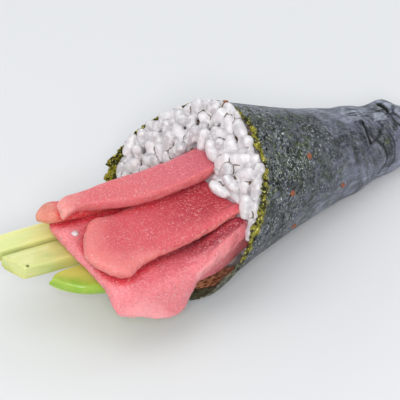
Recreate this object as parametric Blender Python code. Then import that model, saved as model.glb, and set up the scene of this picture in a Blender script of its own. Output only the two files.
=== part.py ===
"""A tuna hand roll: a nori cone lying on its side, packed with rice, with four
slices of raw tuna, two green batons and an avocado slice sticking out of its mouth.

Metres, +Z up, the table at Z = 0, the tail of the cone towards +X.
Most sizes are given in the cone's own frame, in millimetres:
    out   along the cone's axis, away from the tail, from the centre of the mouth
    near  across the axis, level, towards -Y
    up    across the axis, upwards
A place on the cone's wall is given by its distance along the axis towards the tail
and by an angle, which turns from the far side (+Y, 0 degrees) over the top (90).
"""
import math
import random

import bmesh
import bpy
import numpy as np
from mathutils import Vector
from mathutils.bvhtree import BVHTree

MM = 0.001

# ---- the cone of nori -------------------------------------------------------
MOUTH_RADIUS = 27.0        # outside, at the mouth
VIRTUAL_LENGTH = 123.0     # from the mouth to where the straight taper would end
CONE_LENGTH = 116.0        # from the centre of the mouth to the rolled tail
TAIL_RADIUS = 2.4          # where the sheet is rolled shut
TAIL_ROLL = (80, 116)      # the taper turns into that roll between these distances
TILT = math.radians(12.6)  # the axis rises by this towards the mouth
MOUTH_HEIGHT = 25.9        # centre of the mouth above the table
MOUTH_AT = (-24.9, -0.58)   # X and Y of the mouth's centre, with the roll's middle at the origin
MOUTH_PITCH = 0.463        # the mouth's plane leans back by this slope, top to bottom
MOUTH_YAW = -0.094         # and by this slope, side to side
SETBACK_FADES = 60.0       # along this length the leaning rim turns into square rings
RIM_FLARE = 0.9            # the rim opens by this much all round
FLARE_REACH = 10.0         # and the flare dies away over this length
# what the hand that rolled it left in the rim: (opening, angle, spread), degrees
RIM_DENTS = ((2.0, 222, 43), (1.0, 84, 28.6), (-1.8, 34, 28.6), (2.4, 336, 22))
WAIST = 0.9                # the wall draws in behind the mouth
WAIST_AT = (36, 22)        # there: middle and spread along the axis
WALL = 0.8                 # two layers of sheet
INNER_LAYER = 0.4          # the inner one alone
INNER_LAYER_SHOWS = 1.3    # it reaches this far past the outer one's cut edge
FOLD_DEPTH = 1.2           # further turns of the sheet below the tail's folds
FOLDS_START = (46, 58)     # those turns begin between these distances

# slow unevenness of the sheet: (height, bumps round, length of a turn, phase)
WAVES = ((0.35, 2, 17, 0.8), (0.22, 3, -11, 0.0))
WAVES_END = (95, 115)

# folds of the rolled tail: heights, distances along and their spread, degrees and theirs
CORNER = {"height": 2.0, "along": (74, 4.5), "turn": (72, 24)}
FLAP = {"height": 0.5, "starts": (57, 66), "ends": (82, 92), "edge": 84, "edge_from": 54,
        "slope": 2.3, "soft": (3, 6), "fades": (5, 45)}
PLEAT = {"depth": 1.3, "along": (64, 4.5), "turn": (116, 13), "slope": -4}
CREASES = {"height": 0.35, "spacing": 16.3, "lean": 9, "starts": (44, 62), "ends": (88, 100)}

# distances from the rim of the rings that make up the wall
AROUND = 44                # points round the cone
OUTER_RINGS = (112.5, 108, 100, 92, 86, 81, 77, 73, 69, 65, 61, 56, 49, 38, 26, 15, 7, 2, 0)
INNER_RINGS = (12, 36, 62, 88, 104)   # shared by the wall's inside and the rice
INNER_FIRST = 4
INNER_LAST = 109
TAIL_CAP = ((0.35, 0.0), (0.8, 0.9))  # share of the radius, distance from the very end

# ---- rice ------------------------------------------------------------------
GRAIN_LENGTH = 5.7
GRAIN_WIDTH = 3.0
GRAIN_SIDES = 5
GRAIN_SHOULDERS = ((-0.24, 0.96), (0.22, 1.0))   # share of the length, share of the width
GRAIN_SIZES = (0.9, 1.08)
GRAIN_LEAN = 0.35          # how far grains tip out of the heap's face
GRAIN_DEPTHS = (-0.3, 0.9)
GRAIN_NUDGES = (0.0, 0.8, 1.6, 2.4)   # a grain that hits something is moved out by these
GRAIN_SEED = 11
GRAIN_TRIES = 1500
GRAIN_SPACING = 3.1
OVER_RIM = 1.0             # past the rim a grain may lie this far outside the wall
RICE_BULGE = 3.5           # the middle of the rice stands out past the rim's plane
RICE_EDGE_SETBACK = 0.8    # its edge lies this far inside the rim
RICE_LOW_SETBACK = 12.0    # and further inside below the fillings
RICE_LOW = (-18.0, -7.0)   # height over which that setback fades
RICE_LOW_LEAN = 0.3        # it climbs towards the near side
RICE_SHARES = (1.0, 0.86, 0.68, 0.46, 0.22)      # rings of the face, from the wall inwards

GAP = 0.3                  # air between neighbouring pieces
CUT_MARGIN = 0.05          # the rice's hollows are this much wider than the gap
SLIVER = 0.1               # and grains keep this much more from the wall

# ---- fillings: edges in (out, near, up), from the outer end to the mouth ----
SQUEEZE = (0.89, 0.78, 0.67, 0.65)   # scale towards a point down the cone, in the rice
SQUEEZE_TO = 108.0         # how far down the cone that point lies
PROBE_REACH = 2.0          # a slice feels what is below within this distance
PROBES = 8

TUNA_LOWER = {
    "far": ((43.0, -11.0, -8.0), (29.0, -8.0, -7.5), (12.0, -4.5, -6.5), (-4.0, -1.0, -5.5)),
    "under": ((42.0, 2.0, -9.0), (29.0, 6.0, -8.6), (12.0, 9.5, -7.0), (-4.0, 12.0, -4.5)),
    "valley": ((40.6, 12.0, -9.5), (28.5, 15.5, -9.4), (12.0, 17.0, -7.0), (-4.0, 17.6, -1.8)),
    "ridge": ((39.2, 19.6, -10.6), (28.0, 24.0, -9.4), (12.0, 24.2, -5.2), (-4.0, 21.2, 2.2)),
    "flap": ((39.5, 23.0, -15.0), (36.4, 24.8, -16.8), (30.5, 26.2, -17.6), (24.0, 27.4, -19.2),
             (17.8, 26.8, -18.4), (13.4, 23.4, -13.2), (5.0, 23.2, -11.2), (-4.0, 22.3, -6.5)),
}
TUNA_MIDDLE = {
    "far": ((37.5, 1.4, -3.0), (33.0, -0.2, -2.3), (27.5, 0.8, -1.6), (19.0, 0.4, 0.0),
            (10.0, -0.6, 1.8), (3.0, 0.0, 3.1), (-4.0, 1.0, 4.4)),
    "middle": ((42.5, 12.0, -4.0), (28.0, 10.5, -1.6), (10.0, 11.0, 1.0), (-4.0, 12.0, 3.8)),
    "near": ((35.5, 22.0, -6.2), (27.0, 18.6, -5.4), (12.0, 18.6, -2.0), (-4.0, 18.6, 1.4)),
}
TUNA_TOP = {
    "far": ((41.4, -6.4, 1.6), (27.5, -6.6, 4.2), (12.0, -4.6, 7.4), (-4.0, -5.5, 9.6)),
    "near": ((44.6, -0.2, 0.8), (37.5, -2.0, 1.6), (30.5, 0.6, 2.8), (21.0, 4.0, 4.6),
             (12.0, 5.2, 6.2), (4.0, 5.2, 7.6), (-4.0, 4.6, 9.0)),
}
TUNA_BACK = {
    "far": ((45.0, -12.5, -3.8), (32.0, -9.0, -2.6), (12.0, -8.4, -0.6), (-4.0, -7.0, 1.4)),
    "near": ((47.5, -6.5, -5.4), (32.0, -3.5, -3.2), (12.0, -2.8, -0.8), (-4.0, -2.0, 1.2)),
}
AVOCADO = {
    "far": ((50.2, 6.4, -14.4), (44.0, 4.4, -13.8), (20.0, 4.6, -13.0), (-4.0, 5.0, -12.0)),
    "near": ((50.2, 7.0, -14.4), (46.8, 11.4, -14.1), (39.6, 16.4, -13.4), (20.0, 19.0, -13.0),
             (-4.0, 16.0, -12.0)),
}

# lowest first: thickness, rows and columns of the mesh, rounding of the edge and of the outer
# corners, how full the edge is, smoothing of the underside, and what the slice may lie on
SLICES = {
    "avocado_slice": {"edges": AVOCADO, "thickness": 3.8, "mesh": (12, 8), "edge": 1.6,
                      "corner": 3.0, "fullness": 3.0, "easing": 0, "lies_on": ()},
    "tuna_lower": {"edges": TUNA_LOWER, "thickness": 3.3, "mesh": (18, 15), "edge": 1.7,
                   "corner": 4.0, "fullness": 2.2, "easing": 4,
                   "lies_on": ("baton_upper", "baton_lower", "avocado_slice")},
    "tuna_back": {"edges": TUNA_BACK, "thickness": 4.4, "mesh": (12, 8), "edge": 1.8,
                  "corner": 5.0, "fullness": 2.3, "easing": 0,
                  "lies_on": ("baton_upper", "baton_lower", "tuna_lower")},
    "tuna_middle": {"edges": TUNA_MIDDLE, "thickness": 3.8, "mesh": (15, 11), "edge": 2.0,
                    "corner": 4.6, "fullness": 2.2, "easing": 0,
                    "lies_on": ("tuna_lower", "tuna_back")},
    "tuna_top": {"edges": TUNA_TOP, "thickness": 4.4, "mesh": (15, 9), "edge": 1.6,
                 "corner": 4.0, "fullness": 2.5, "easing": 0,
                 "lies_on": ("tuna_back", "tuna_middle")},
}
MAX_INSET = 0.42           # a rounded outer corner takes at most this share of the width

# batons: (out, near, up) of the cross-section's middle at the outer end and at the mouth,
# width and height, slant of the cut end and turn about their length
BATONS = {
    "baton_upper": {"end": (62.0, -8.8, -11.4), "mouth": (-4.0, -9.2, -9.6), "size": (6.2, 5.0),
                    "cut": -0.15, "roll": math.radians(-8)},
    "baton_lower": {"end": (57.8, -0.9, -12.2), "mouth": (-4.0, -1.0, -12.2), "size": (8.6, 4.6),
                    "cut": -0.35, "roll": math.radians(4)},
}
BATON_EDGE = 0.7           # rounding of the batons' long edges
# rings along a baton: share of its length, share of its size, and a small step back
BATON_STATIONS = ((0.0, 0.9, 0.0), (0.0, 1.0, -0.35), (0.35, 1.0, 0), (0.7, 1.0, 0), (1.0, 1.0, 0))

COLOURS = {
    "nori": ((0.050, 0.065, 0.055), 0.55),
    "rice": ((0.800, 0.760, 0.760), 0.45),
    "tuna_top": ((0.720, 0.185, 0.205), 0.35),
    "tuna_middle": ((0.680, 0.150, 0.170), 0.35),
    "tuna_lower": ((0.720, 0.190, 0.210), 0.35),
    "tuna_back": ((0.700, 0.220, 0.200), 0.35),
    "baton_upper": ((0.720, 0.740, 0.380), 0.45),
    "baton_lower": ((0.640, 0.680, 0.300), 0.45),
    "avocado_slice": ((0.480, 0.560, 0.110), 0.45),
}
SHARP_ANGLE = math.radians(50)

# ---- the cone's frame -------------------------------------------------------
OUT = Vector((-math.cos(TILT), 0, math.sin(TILT)))
NEAR = Vector((0, -1, 0))
UP = Vector((math.sin(TILT), 0, math.cos(TILT)))
MOUTH = Vector((MOUTH_AT[0], MOUTH_AT[1], MOUTH_HEIGHT))
ANGLES = [2 * math.pi * k / AROUND for k in range(AROUND)]


def world(out, near, up):
    """A point of the cone's frame, in millimetres, as world metres."""
    return (MOUTH + OUT * out + NEAR * near + UP * up) * MM


def smooth(low, high, value):
    """0 at low, 1 at high, eased between and flat beyond them."""
    part = min(max((value - low) / (high - low), 0.0), 1.0)
    return part * part * (3 - 2 * part)


def bump(value, centre, width):
    """1 at the centre, fading like a bell."""
    return math.exp(-((value - centre) / width) ** 2)


def degrees_between(angle, degrees):
    """Signed difference between an angle in radians and one in degrees, within half a turn."""
    return (math.degrees(angle) - degrees + 180) % 360 - 180


# ---- nori ------------------------------------------------------------------
def setback(angle, share=1.0):
    """How far the mouth's plane lies towards the tail, at an angle round the cone."""
    return share * MOUTH_RADIUS * (MOUTH_PITCH * math.sin(angle) + MOUTH_YAW * math.cos(angle))


def tail_folds(along, angle):
    """Relief of the rolled tail: a wrapped corner, the pleat below it and ring creases."""
    degrees = math.degrees(angle) % 360
    corner = CORNER["height"] * bump(along, *CORNER["along"]) * bump(degrees, *CORNER["turn"])
    edge = FLAP["edge"] + (along - FLAP["edge_from"]) * FLAP["slope"]
    above, below = FLAP["soft"]
    flap = FLAP["height"] * smooth(*FLAP["starts"], along) * (1 - smooth(*FLAP["ends"], along))
    flap *= (1 - smooth(edge - above, edge + below, degrees)) * smooth(*FLAP["fades"], degrees)
    start, width = PLEAT["turn"]
    run = start + (along - PLEAT["along"][0]) * PLEAT["slope"]
    pleat = -PLEAT["depth"] * bump(along, *PLEAT["along"]) * bump(degrees, run, width)
    turn = 2 * math.pi * (along + CREASES["lean"] * math.sin(angle)) / CREASES["spacing"]
    creases = CREASES["height"] * math.sin(turn) * smooth(*CREASES["starts"], along)
    creases *= 1 - smooth(*CREASES["ends"], along)
    return corner + flap + pleat + creases


def waves(along, angle):
    """Slow unevenness of the hand-rolled sheet."""
    height = sum(size * math.sin(around * angle + along / length + phase)
                 for size, around, length, phase in WAVES)
    return height * (1 - smooth(*WAVES_END, along))


def smooth_radius(along, angle):
    """Outer radius of the sheet without the tail's folds."""
    straight = MOUTH_RADIUS * (1 - along / VIRTUAL_LENGTH) - WAIST * bump(along, *WAIST_AT)
    radius = math.hypot(max(straight, 0.0), TAIL_RADIUS * smooth(*TAIL_ROLL, along))
    flare = RIM_FLARE
    for opening, degrees, spread in RIM_DENTS:
        flare += opening * bump(degrees_between(angle, degrees), 0, spread)
    distance = max(along - setback(angle), 0)
    return radius + flare * math.exp(-distance / FLARE_REACH) + waves(along, angle)


def outer_radius(along, angle):
    return smooth_radius(along, angle) + tail_folds(along, angle)


def inner_radius(along, angle):
    """Inside of the sheet, smooth below the folds, where more turns lie on one another."""
    folded = FOLD_DEPTH * smooth(*FOLDS_START, along)
    return max(smooth_radius(along, angle) - WALL - folded, GAP)


def ring_point(along, angle, radius, floor=0.0):
    """A point of the cone's wall, lifted and flattened where it lies on the table."""
    axis_height = MOUTH_HEIGHT - along * math.sin(TILT)
    lift = max(0.0, radius * math.cos(TILT) - GAP - axis_height)
    point = world(-along, -radius * math.cos(angle), radius * math.sin(angle))
    point.z = max(point.z + lift * smooth(SETBACK_FADES, INNER_LAST, along) * MM, floor * MM)
    return point


def inner_point(along, angle, gap=0.0):
    """The wall's inside, lifted off the table by its own thickness."""
    return ring_point(along, angle, max(inner_radius(along, angle) - gap, GAP), WALL + gap)


def from_rim(distance, angle):
    """Distance along the axis of a ring that follows the leaning rim."""
    return distance + setback(angle, max(0.0, 1 - distance / SETBACK_FADES))


def signed_volume(verts, faces):
    """Six times the volume, negative where the faces point inwards."""
    total = 0.0
    for face in faces:
        first = Vector(verts[face[0]])
        for a, b in zip(face[1:], face[2:]):
            total += first.dot(Vector(verts[a]).cross(Vector(verts[b])))
    return total


def facing_out(verts, faces):
    if signed_volume(verts, faces) < 0:
        return [tuple(reversed(face)) for face in faces]
    return faces


def make_object(name, verts, faces):
    mesh = bpy.data.meshes.new(name)
    mesh.from_pydata([tuple(v) for v in verts], [], facing_out(verts, faces))
    thing = bpy.data.objects.new(name, mesh)
    bpy.context.scene.collection.objects.link(thing)
    return thing


def tube_faces(rings, count):
    """Quads between successive rings of count points, and a face over each end."""
    faces = [tuple(reversed(range(count))), tuple(range((rings - 1) * count, rings * count))]
    for ring in range(rings - 1):
        for k in range(count):
            a = ring * count + k
            b = ring * count + (k + 1) % count
            faces.append((a, b, b + count, a + count))
    return faces


def build_nori():
    """One wound sheet: outside from the tail to the mouth, a stepped rim, then the inside."""
    rings = []
    for share, from_end in TAIL_CAP:
        along = CONE_LENGTH - from_end
        rings.append([ring_point(along, a, share * outer_radius(along, a)) for a in ANGLES])
    for distance in OUTER_RINGS:
        places = [from_rim(distance, a) for a in ANGLES]
        rings.append([ring_point(s, a, outer_radius(s, a)) for s, a in zip(places, ANGLES)])
    step = WALL - INNER_LAYER
    lip = -INNER_LAYER_SHOWS
    for distance, cut in ((SLIVER / 2, step), (lip, step), (lip + SLIVER, WALL)):
        places = [from_rim(distance, a) for a in ANGLES]
        rings.append([ring_point(s, a, outer_radius(s, a) - cut, cut) for s, a in zip(places, ANGLES)])
    for distance in (INNER_FIRST, *INNER_RINGS, INNER_LAST):
        rings.append([inner_point(from_rim(distance, a), a) for a in ANGLES])
    verts = [point for ring in rings for point in ring]
    return make_object("nori", verts, tube_faces(len(rings), AROUND))


# ---- fillings --------------------------------------------------------------
def spline(points, share):
    """Catmull-Rom curve through a few points, share 0 to 1."""
    points = [np.array(p, float) for p in points]
    points = [2 * points[0] - points[1]] + points + [2 * points[-1] - points[-2]]
    place = min(max(share, 0.0), 1.0) * (len(points) - 3)
    k = min(int(place), len(points) - 4)
    t = place - k
    a, b, c, d = points[k:k + 4]
    return 0.5 * (2 * b + (c - a) * t + (2 * a - 5 * b + 4 * c - d) * t * t
                  + (3 * b - a - 3 * c + d) * t ** 3)


def rounded(distance, radius, fullness):
    """Share of the full thickness at a distance from a rounded edge."""
    if distance >= radius:
        return 1.0
    return (1 - (1 - distance / radius) ** fullness) ** (1 / fullness)


def squeezed(point, factor):
    """A point of the mouth drawn in towards the cone's tip."""
    tip = np.array((-SQUEEZE_TO, 0.0, 0.0))
    return tip + (point - tip) * factor


def sheet_grid(piece):
    """Middle surface and half thickness of a slice, outer end first."""
    curves = list(piece["edges"].values())
    rows, columns = piece["mesh"]
    grid = []
    for i in range(rows):
        share = 1 - math.cos(math.pi / 2 * i / (rows - 1))
        grid.append([spline(curve, share) for curve in curves])
    shares = [(1 - math.cos(math.pi * j / (columns - 1))) / 2 for j in range(columns)]
    tip = sum(grid[0]) / len(curves)
    middle = np.zeros((rows + len(SQUEEZE), columns, 3))
    half = np.zeros((rows + len(SQUEEZE), columns))
    for i, across in enumerate(grid):
        from_end = np.linalg.norm(sum(across) / len(curves) - tip)
        corner = piece["corner"]
        inset = corner - math.sqrt(corner ** 2 - max(corner - from_end, 0.0) ** 2)
        inset = min(inset / np.linalg.norm(across[-1] - across[0]), MAX_INSET)
        row = [spline(across, inset + s * (1 - 2 * inset)) for s in shares]
        steps = [0.0] + list(np.cumsum([np.linalg.norm(b - a) for a, b in zip(row, row[1:])]))
        for j in range(columns):
            side = min(steps[j], steps[-1] - steps[j])
            full = min(rounded(side, piece["edge"], piece["fullness"]),
                       rounded(from_end, piece["edge"], piece["fullness"]))
            middle[i, j] = row[j]
            half[i, j] = piece["thickness"] / 2 * full
    for k, factor in enumerate(SQUEEZE):
        for j in range(columns):
            middle[rows + k, j] = squeezed(middle[rows - 1, j], factor)
            half[rows + k, j] = half[rows - 1, j] * factor
    half[-1] = 0.0
    return middle, half


def sheet_normals(middle):
    along = np.gradient(middle, axis=0)
    across = np.gradient(middle, axis=1)
    normal = np.cross(across, along)
    return normal / np.linalg.norm(normal, axis=2, keepdims=True)


def raised(middle, half, below):
    """The slice lifted where it would sink into the pieces that it lies on."""
    rows, columns = half.shape
    probes = [(0, 0)]
    for k in range(PROBES):
        turn = 2 * math.pi * k / PROBES
        for reach in (PROBE_REACH / 2, PROBE_REACH):
            probes.append((reach * math.cos(turn), reach * math.sin(turn)))
    lift = np.zeros((rows, columns))
    for i in range(rows):
        for j in range(columns):
            out, near, up = middle[i, j]
            for step_out, step_near in probes:
                above = Vector((out + step_out, near + step_near, up + MOUTH_RADIUS / 2))
                for tree in below:
                    hit = tree.ray_cast(above, Vector((0, 0, -1)), MOUTH_RADIUS)
                    if hit[0] is not None:
                        lift[i, j] = max(lift[i, j], hit[0].z + GAP + half[i, j] - up)
    spread = lift.copy()
    for _ in range(2):
        padded = np.pad(spread, 1, mode="edge")
        near_by = [padded[a:a + rows, b:b + columns] for a in range(3) for b in range(3)]
        spread = np.maximum(lift, sum(near_by) / 9)
    middle = middle.copy()
    middle[:, :, 2] += spread
    return middle


def cell_halves(i, j, flipped):
    """Two triangles over a cell of the grid; a flipped one has the other diagonal, so that at
    every corner of a slice both triangles reach a point inside its edge."""
    a, b, c, d = (i, j), (i, j + 1), (i + 1, j + 1), (i + 1, j)
    return ((a, b, d), (b, c, d)) if flipped else ((a, b, c), (a, c, d))


def sheet_shape(middle, half, easing):
    """Vertices, in the cone's frame, and faces of a closed slice."""
    rows, columns = half.shape
    normal = sheet_normals(middle)
    underside = middle - normal * half[..., None]
    for _ in range(easing):
        underside[:, 1:-1] = underside[:, 1:-1] / 2 + (underside[:, :-2] + underside[:, 2:]) / 4
    verts = [tuple(p) for p in (middle + normal * half[..., None]).reshape(-1, 3)]
    under = {}
    for i in range(rows):
        for j in range(columns):
            if i in (0, rows - 1) or j in (0, columns - 1):
                under[i, j] = i * columns + j
                verts[i * columns + j] = tuple(middle[i, j])
            else:
                under[i, j] = len(verts)
                verts.append(tuple(underside[i, j]))
    faces = []
    for i in range(rows - 1):
        for j in range(columns - 1):
            for top in cell_halves(i, j, (i, j) in ((0, columns - 2), (rows - 2, 0))):
                faces.append(tuple(a * columns + b for a, b in top))
                faces.append(tuple(under[corner] for corner in reversed(top)))
    return verts, faces


def local_object(name, verts, faces):
    return make_object(name, [world(*v) for v in verts], faces)


def tree_of(verts, faces):
    return BVHTree.FromPolygons([Vector(v) for v in verts], facing_out(verts, faces))


def baton_shape(baton):
    """A squared stick with eased edges, from its cut end into the rice."""
    width, height = baton["size"]
    end = np.array(baton["end"])
    mouth = np.array(baton["mouth"])
    outline = []
    for side, level in ((1, 1), (-1, 1), (-1, -1), (1, -1)):
        across = side * (width / 2 - BATON_EDGE)
        upwards = level * (height / 2 - BATON_EDGE)
        for step in (-1, 0, 1):
            turn = math.atan2(level, side) + step * math.pi / 4
            outline.append((across + BATON_EDGE * math.cos(turn), upwards + BATON_EDGE * math.sin(turn)))
    cosine = math.cos(baton["roll"])
    sine = math.sin(baton["roll"])
    rings = []
    for share, size, shift in BATON_STATIONS:
        middle = end + (mouth - end) * share
        ring = []
        for across, upwards in outline:
            near = across * cosine - upwards * sine
            up = across * sine + upwards * cosine
            slope = baton["cut"] * near * (1 - share)
            ring.append(middle + np.array((shift + slope, near * size, up * size)))
        rings.append(ring)
    at_mouth = rings[-1]
    for factor in SQUEEZE:
        rings.append([squeezed(p, factor) for p in at_mouth])
    verts = [tuple(p) for ring in rings for p in ring]
    return verts, tube_faces(len(rings), len(outline))


def build_fillings():
    """Every filling's vertices and faces, lowest first, each lifted clear of those below."""
    shapes = {name: baton_shape(baton) for name, baton in BATONS.items()}
    for name, piece in SLICES.items():
        middle, half = sheet_grid(piece)
        middle = raised(middle, half, [tree_of(*shapes[other]) for other in piece["lies_on"]])
        shapes[name] = sheet_shape(middle, half, piece["easing"])
    return shapes


# ---- rice ------------------------------------------------------------------
def rice_front(near, up):
    """The heap's face in the mouth, as a distance out along the axis."""
    share = min(math.hypot(near, up) / MOUTH_RADIUS, 1.0)
    front = MOUTH_YAW * near - MOUTH_PITCH * up
    front += RICE_BULGE * (1 - share ** 2) - RICE_EDGE_SETBACK * share ** 4
    return front - RICE_LOW_SETBACK * (1 - smooth(*RICE_LOW, up - RICE_LOW_LEAN * near))


def rice_core():
    """The packed rice without its loose grains, a gap inside the wall."""
    rings = []
    for distance in reversed(INNER_RINGS):
        rings.append([inner_point(from_rim(distance, a), a, GAP) for a in ANGLES])
    for share in RICE_SHARES:
        ring = []
        for a in ANGLES:
            edge = rice_front(-MOUTH_RADIUS * math.cos(a), MOUTH_RADIUS * math.sin(a))
            radius = (inner_radius(-edge, a) - GAP) * share
            near = -radius * math.cos(a)
            up = radius * math.sin(a)
            point = world(rice_front(near, up), near, up)
            point.z = max(point.z, (WALL + GAP) * MM)
            ring.append(point)
        rings.append(ring)
    verts = [point for ring in rings for point in ring]
    return make_object("rice", verts, tube_faces(len(rings), AROUND))


def grain_shape():
    """A plump grain of few sides, along its own X."""
    verts = [Vector((-GRAIN_LENGTH / 2, 0, 0))]
    for place, width in GRAIN_SHOULDERS:
        radius = GRAIN_WIDTH / 2 * width
        for k in range(GRAIN_SIDES):
            turn = 2 * math.pi * k / GRAIN_SIDES
            verts.append(Vector((place * GRAIN_LENGTH, radius * math.cos(turn), radius * math.sin(turn))))
    verts.append(Vector((GRAIN_LENGTH / 2, 0, 0)))
    tip = len(verts) - 1
    faces = []
    for k in range(GRAIN_SIDES):
        a = 1 + k
        b = 1 + (k + 1) % GRAIN_SIDES
        faces += [(0, b, a), (a, b, b + GRAIN_SIDES, a + GRAIN_SIDES),
                  (tip, a + GRAIN_SIDES, b + GRAIN_SIDES)]
    return verts, faces


def grain_samples(verts, faces):
    """Points spread over a grain's surface, for trying its place."""
    samples = list(verts)
    for face in faces:
        corners = [verts[k] for k in face]
        samples.append(sum(corners, Vector()) / len(corners))
        samples += [a.lerp(b, share) for a, b in zip(corners, corners[1:]) for share in (1 / 3, 2 / 3)]
    return samples


def inside_or_near(tree, point):
    spot, normal, _, distance = tree.find_nearest(point)
    return distance < GAP or (point - spot).dot(normal) < 0


def grain_fits(points, surface, fillings):
    """True where a grain crosses neither the fillings nor the wall."""
    if any(surface.overlap(tree) for tree in fillings):
        return False
    for point in points:
        out, near, up = point
        angle = math.atan2(up, -near)
        wall = outer_radius(-out, angle)
        past_rim = -out < setback(angle) - INNER_LAYER_SHOWS - 2 * GAP
        limit = wall + OVER_RIM if past_rim else wall - WALL - GAP - SLIVER
        if math.hypot(near, up) > limit:
            return False
        if world(out, near, up).z < (WALL + GAP + 2 * SLIVER) * MM:
            return False
        if any(inside_or_near(tree, point) for tree in fillings):
            return False
    return True


def place_grains(fillings):
    """Grains lying in the face of the rice, each clear of the wall and of the fillings."""
    draw = random.Random(GRAIN_SEED)
    verts, faces = grain_shape()
    samples = grain_samples(verts, faces)
    middles = []
    grains = []
    for _ in range(GRAIN_TRIES):
        radius = (MOUTH_RADIUS - GRAIN_WIDTH / 2) * math.sqrt(draw.random())
        angle = draw.uniform(0, 2 * math.pi)
        near = -radius * math.cos(angle)
        up = radius * math.sin(angle)
        spin = draw.uniform(0, 2 * math.pi)
        lean = draw.gauss(0, GRAIN_LEAN)
        size = draw.uniform(*GRAIN_SIZES)
        depth = draw.uniform(*GRAIN_DEPTHS)
        turn = Vector((lean, math.cos(spin), math.sin(spin))).to_track_quat("X", "Z").to_matrix()
        centre = Vector((rice_front(near, up) + depth, near, up))
        if any((centre - other).length < GRAIN_SPACING for other in middles):
            continue
        for nudge in GRAIN_NUDGES:
            middle = centre + Vector((nudge, 0, 0))
            grain = [middle + turn @ (v * size) for v in verts]
            if grain_fits([middle + turn @ (v * size) for v in samples], tree_of(grain, faces), fillings):
                middles.append(middle)
                grains.append(grain)
                break
    return grains, faces


def boolean(thing, operation, other=None, group=None):
    """Join or cut a closed mesh, by one object or by a collection, and apply it."""
    cut = thing.modifiers.new(operation.lower(), "BOOLEAN")
    cut.operation = operation
    cut.solver = "MANIFOLD"
    if group is None:
        cut.object = other
    else:
        cut.operand_type = "COLLECTION"
        cut.collection = group
    graph = bpy.context.evaluated_depsgraph_get()
    mesh = bpy.data.meshes.new_from_object(thing.evaluated_get(graph))
    thing.modifiers.clear()
    thing.data = mesh


def keep_largest_piece(thing):
    """Drop loose scraps and the walls of sealed hollows."""
    mesh = bmesh.new()
    mesh.from_mesh(thing.data)
    left = set(mesh.verts)
    pieces = []
    while left:
        piece = {left.pop()}
        edge_of_piece = list(piece)
        while edge_of_piece:
            vert = edge_of_piece.pop()
            for edge in vert.link_edges:
                other = edge.other_vert(vert)
                if other not in piece:
                    piece.add(other)
                    left.discard(other)
                    edge_of_piece.append(other)
        pieces.append(piece)
    pieces.sort(key=len)
    for piece in pieces[:-1]:
        bmesh.ops.delete(mesh, geom=list(piece), context="VERTS")
    mesh.to_mesh(thing.data)
    mesh.free()


def grown(verts, faces, distance):
    """A closed shape with its surface moved outwards by a distance."""
    mesh = bmesh.new()
    for vert in verts:
        mesh.verts.new(vert)
    mesh.verts.ensure_lookup_table()
    for face in facing_out(verts, faces):
        mesh.faces.new([mesh.verts[k] for k in face])
    mesh.normal_update()
    moved = [v.co + v.normal * min(v.calc_shell_factor(), 3) * distance for v in mesh.verts]
    mesh.free()
    return moved


def build_rice(shapes):
    """The core, hollowed round every filling, with the grains that show fused on."""
    rice = rice_core()
    for verts, faces in shapes.values():
        cutter = local_object("cutter", grown(verts, faces, GAP + CUT_MARGIN), faces)
        boolean(rice, "DIFFERENCE", other=cutter)
        bpy.data.objects.remove(cutter)
    grains, faces = place_grains([tree_of(*shape) for shape in shapes.values()])
    group = bpy.data.collections.new("grains")
    bpy.context.scene.collection.children.link(group)
    for verts in grains:
        grain = local_object("grain", verts, faces)
        bpy.context.scene.collection.objects.unlink(grain)
        group.objects.link(grain)
    boolean(rice, "UNION", group=group)
    for grain in list(group.objects):
        bpy.data.objects.remove(grain)
    bpy.data.collections.remove(group)
    keep_largest_piece(rice)
    return rice


# ---- the whole -------------------------------------------------------------
def finish_piece(thing):
    """Smooth shading and the piece's own material."""
    colour, roughness = COLOURS[thing.name]
    material = bpy.data.materials.new(thing.name)
    material.use_nodes = True
    surface = material.node_tree.nodes["Principled BSDF"]
    surface.inputs["Base Color"].default_value = (*colour, 1)
    surface.inputs["Roughness"].default_value = roughness
    surface.inputs["Metallic"].default_value = 0
    thing.data.materials.clear()
    thing.data.materials.append(material)
    thing.data.shade_smooth()
    thing.data.set_sharp_from_angle(angle=SHARP_ANGLE)


def main():
    for thing in list(bpy.data.objects):
        bpy.data.objects.remove(thing)
    shapes = build_fillings()
    pieces = [build_nori(), build_rice(shapes)]
    pieces += [local_object(name, verts, faces) for name, (verts, faces) in shapes.items()]
    for piece in pieces:
        finish_piece(piece)


main()
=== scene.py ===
# %% [markdown]
# # A tuna hand roll
# A hand roll is a sheet of dried seaweed wound into a cone round a handful of rice, with fish and
# green batons laid on the rice so that they stick out of the wide end. This one lies on its side.
# The packed solids give every size and place. The cells below dress them one by one: the seaweed,
# the tuna, the batons, the avocado and the rice, then their finishes, the floor and the light.

import math
import random

import bmesh
import bpy
import numpy as np
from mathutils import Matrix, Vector, noise
from mathutils.bvhtree import BVHTree
from mathutils.kdtree import KDTree

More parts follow.
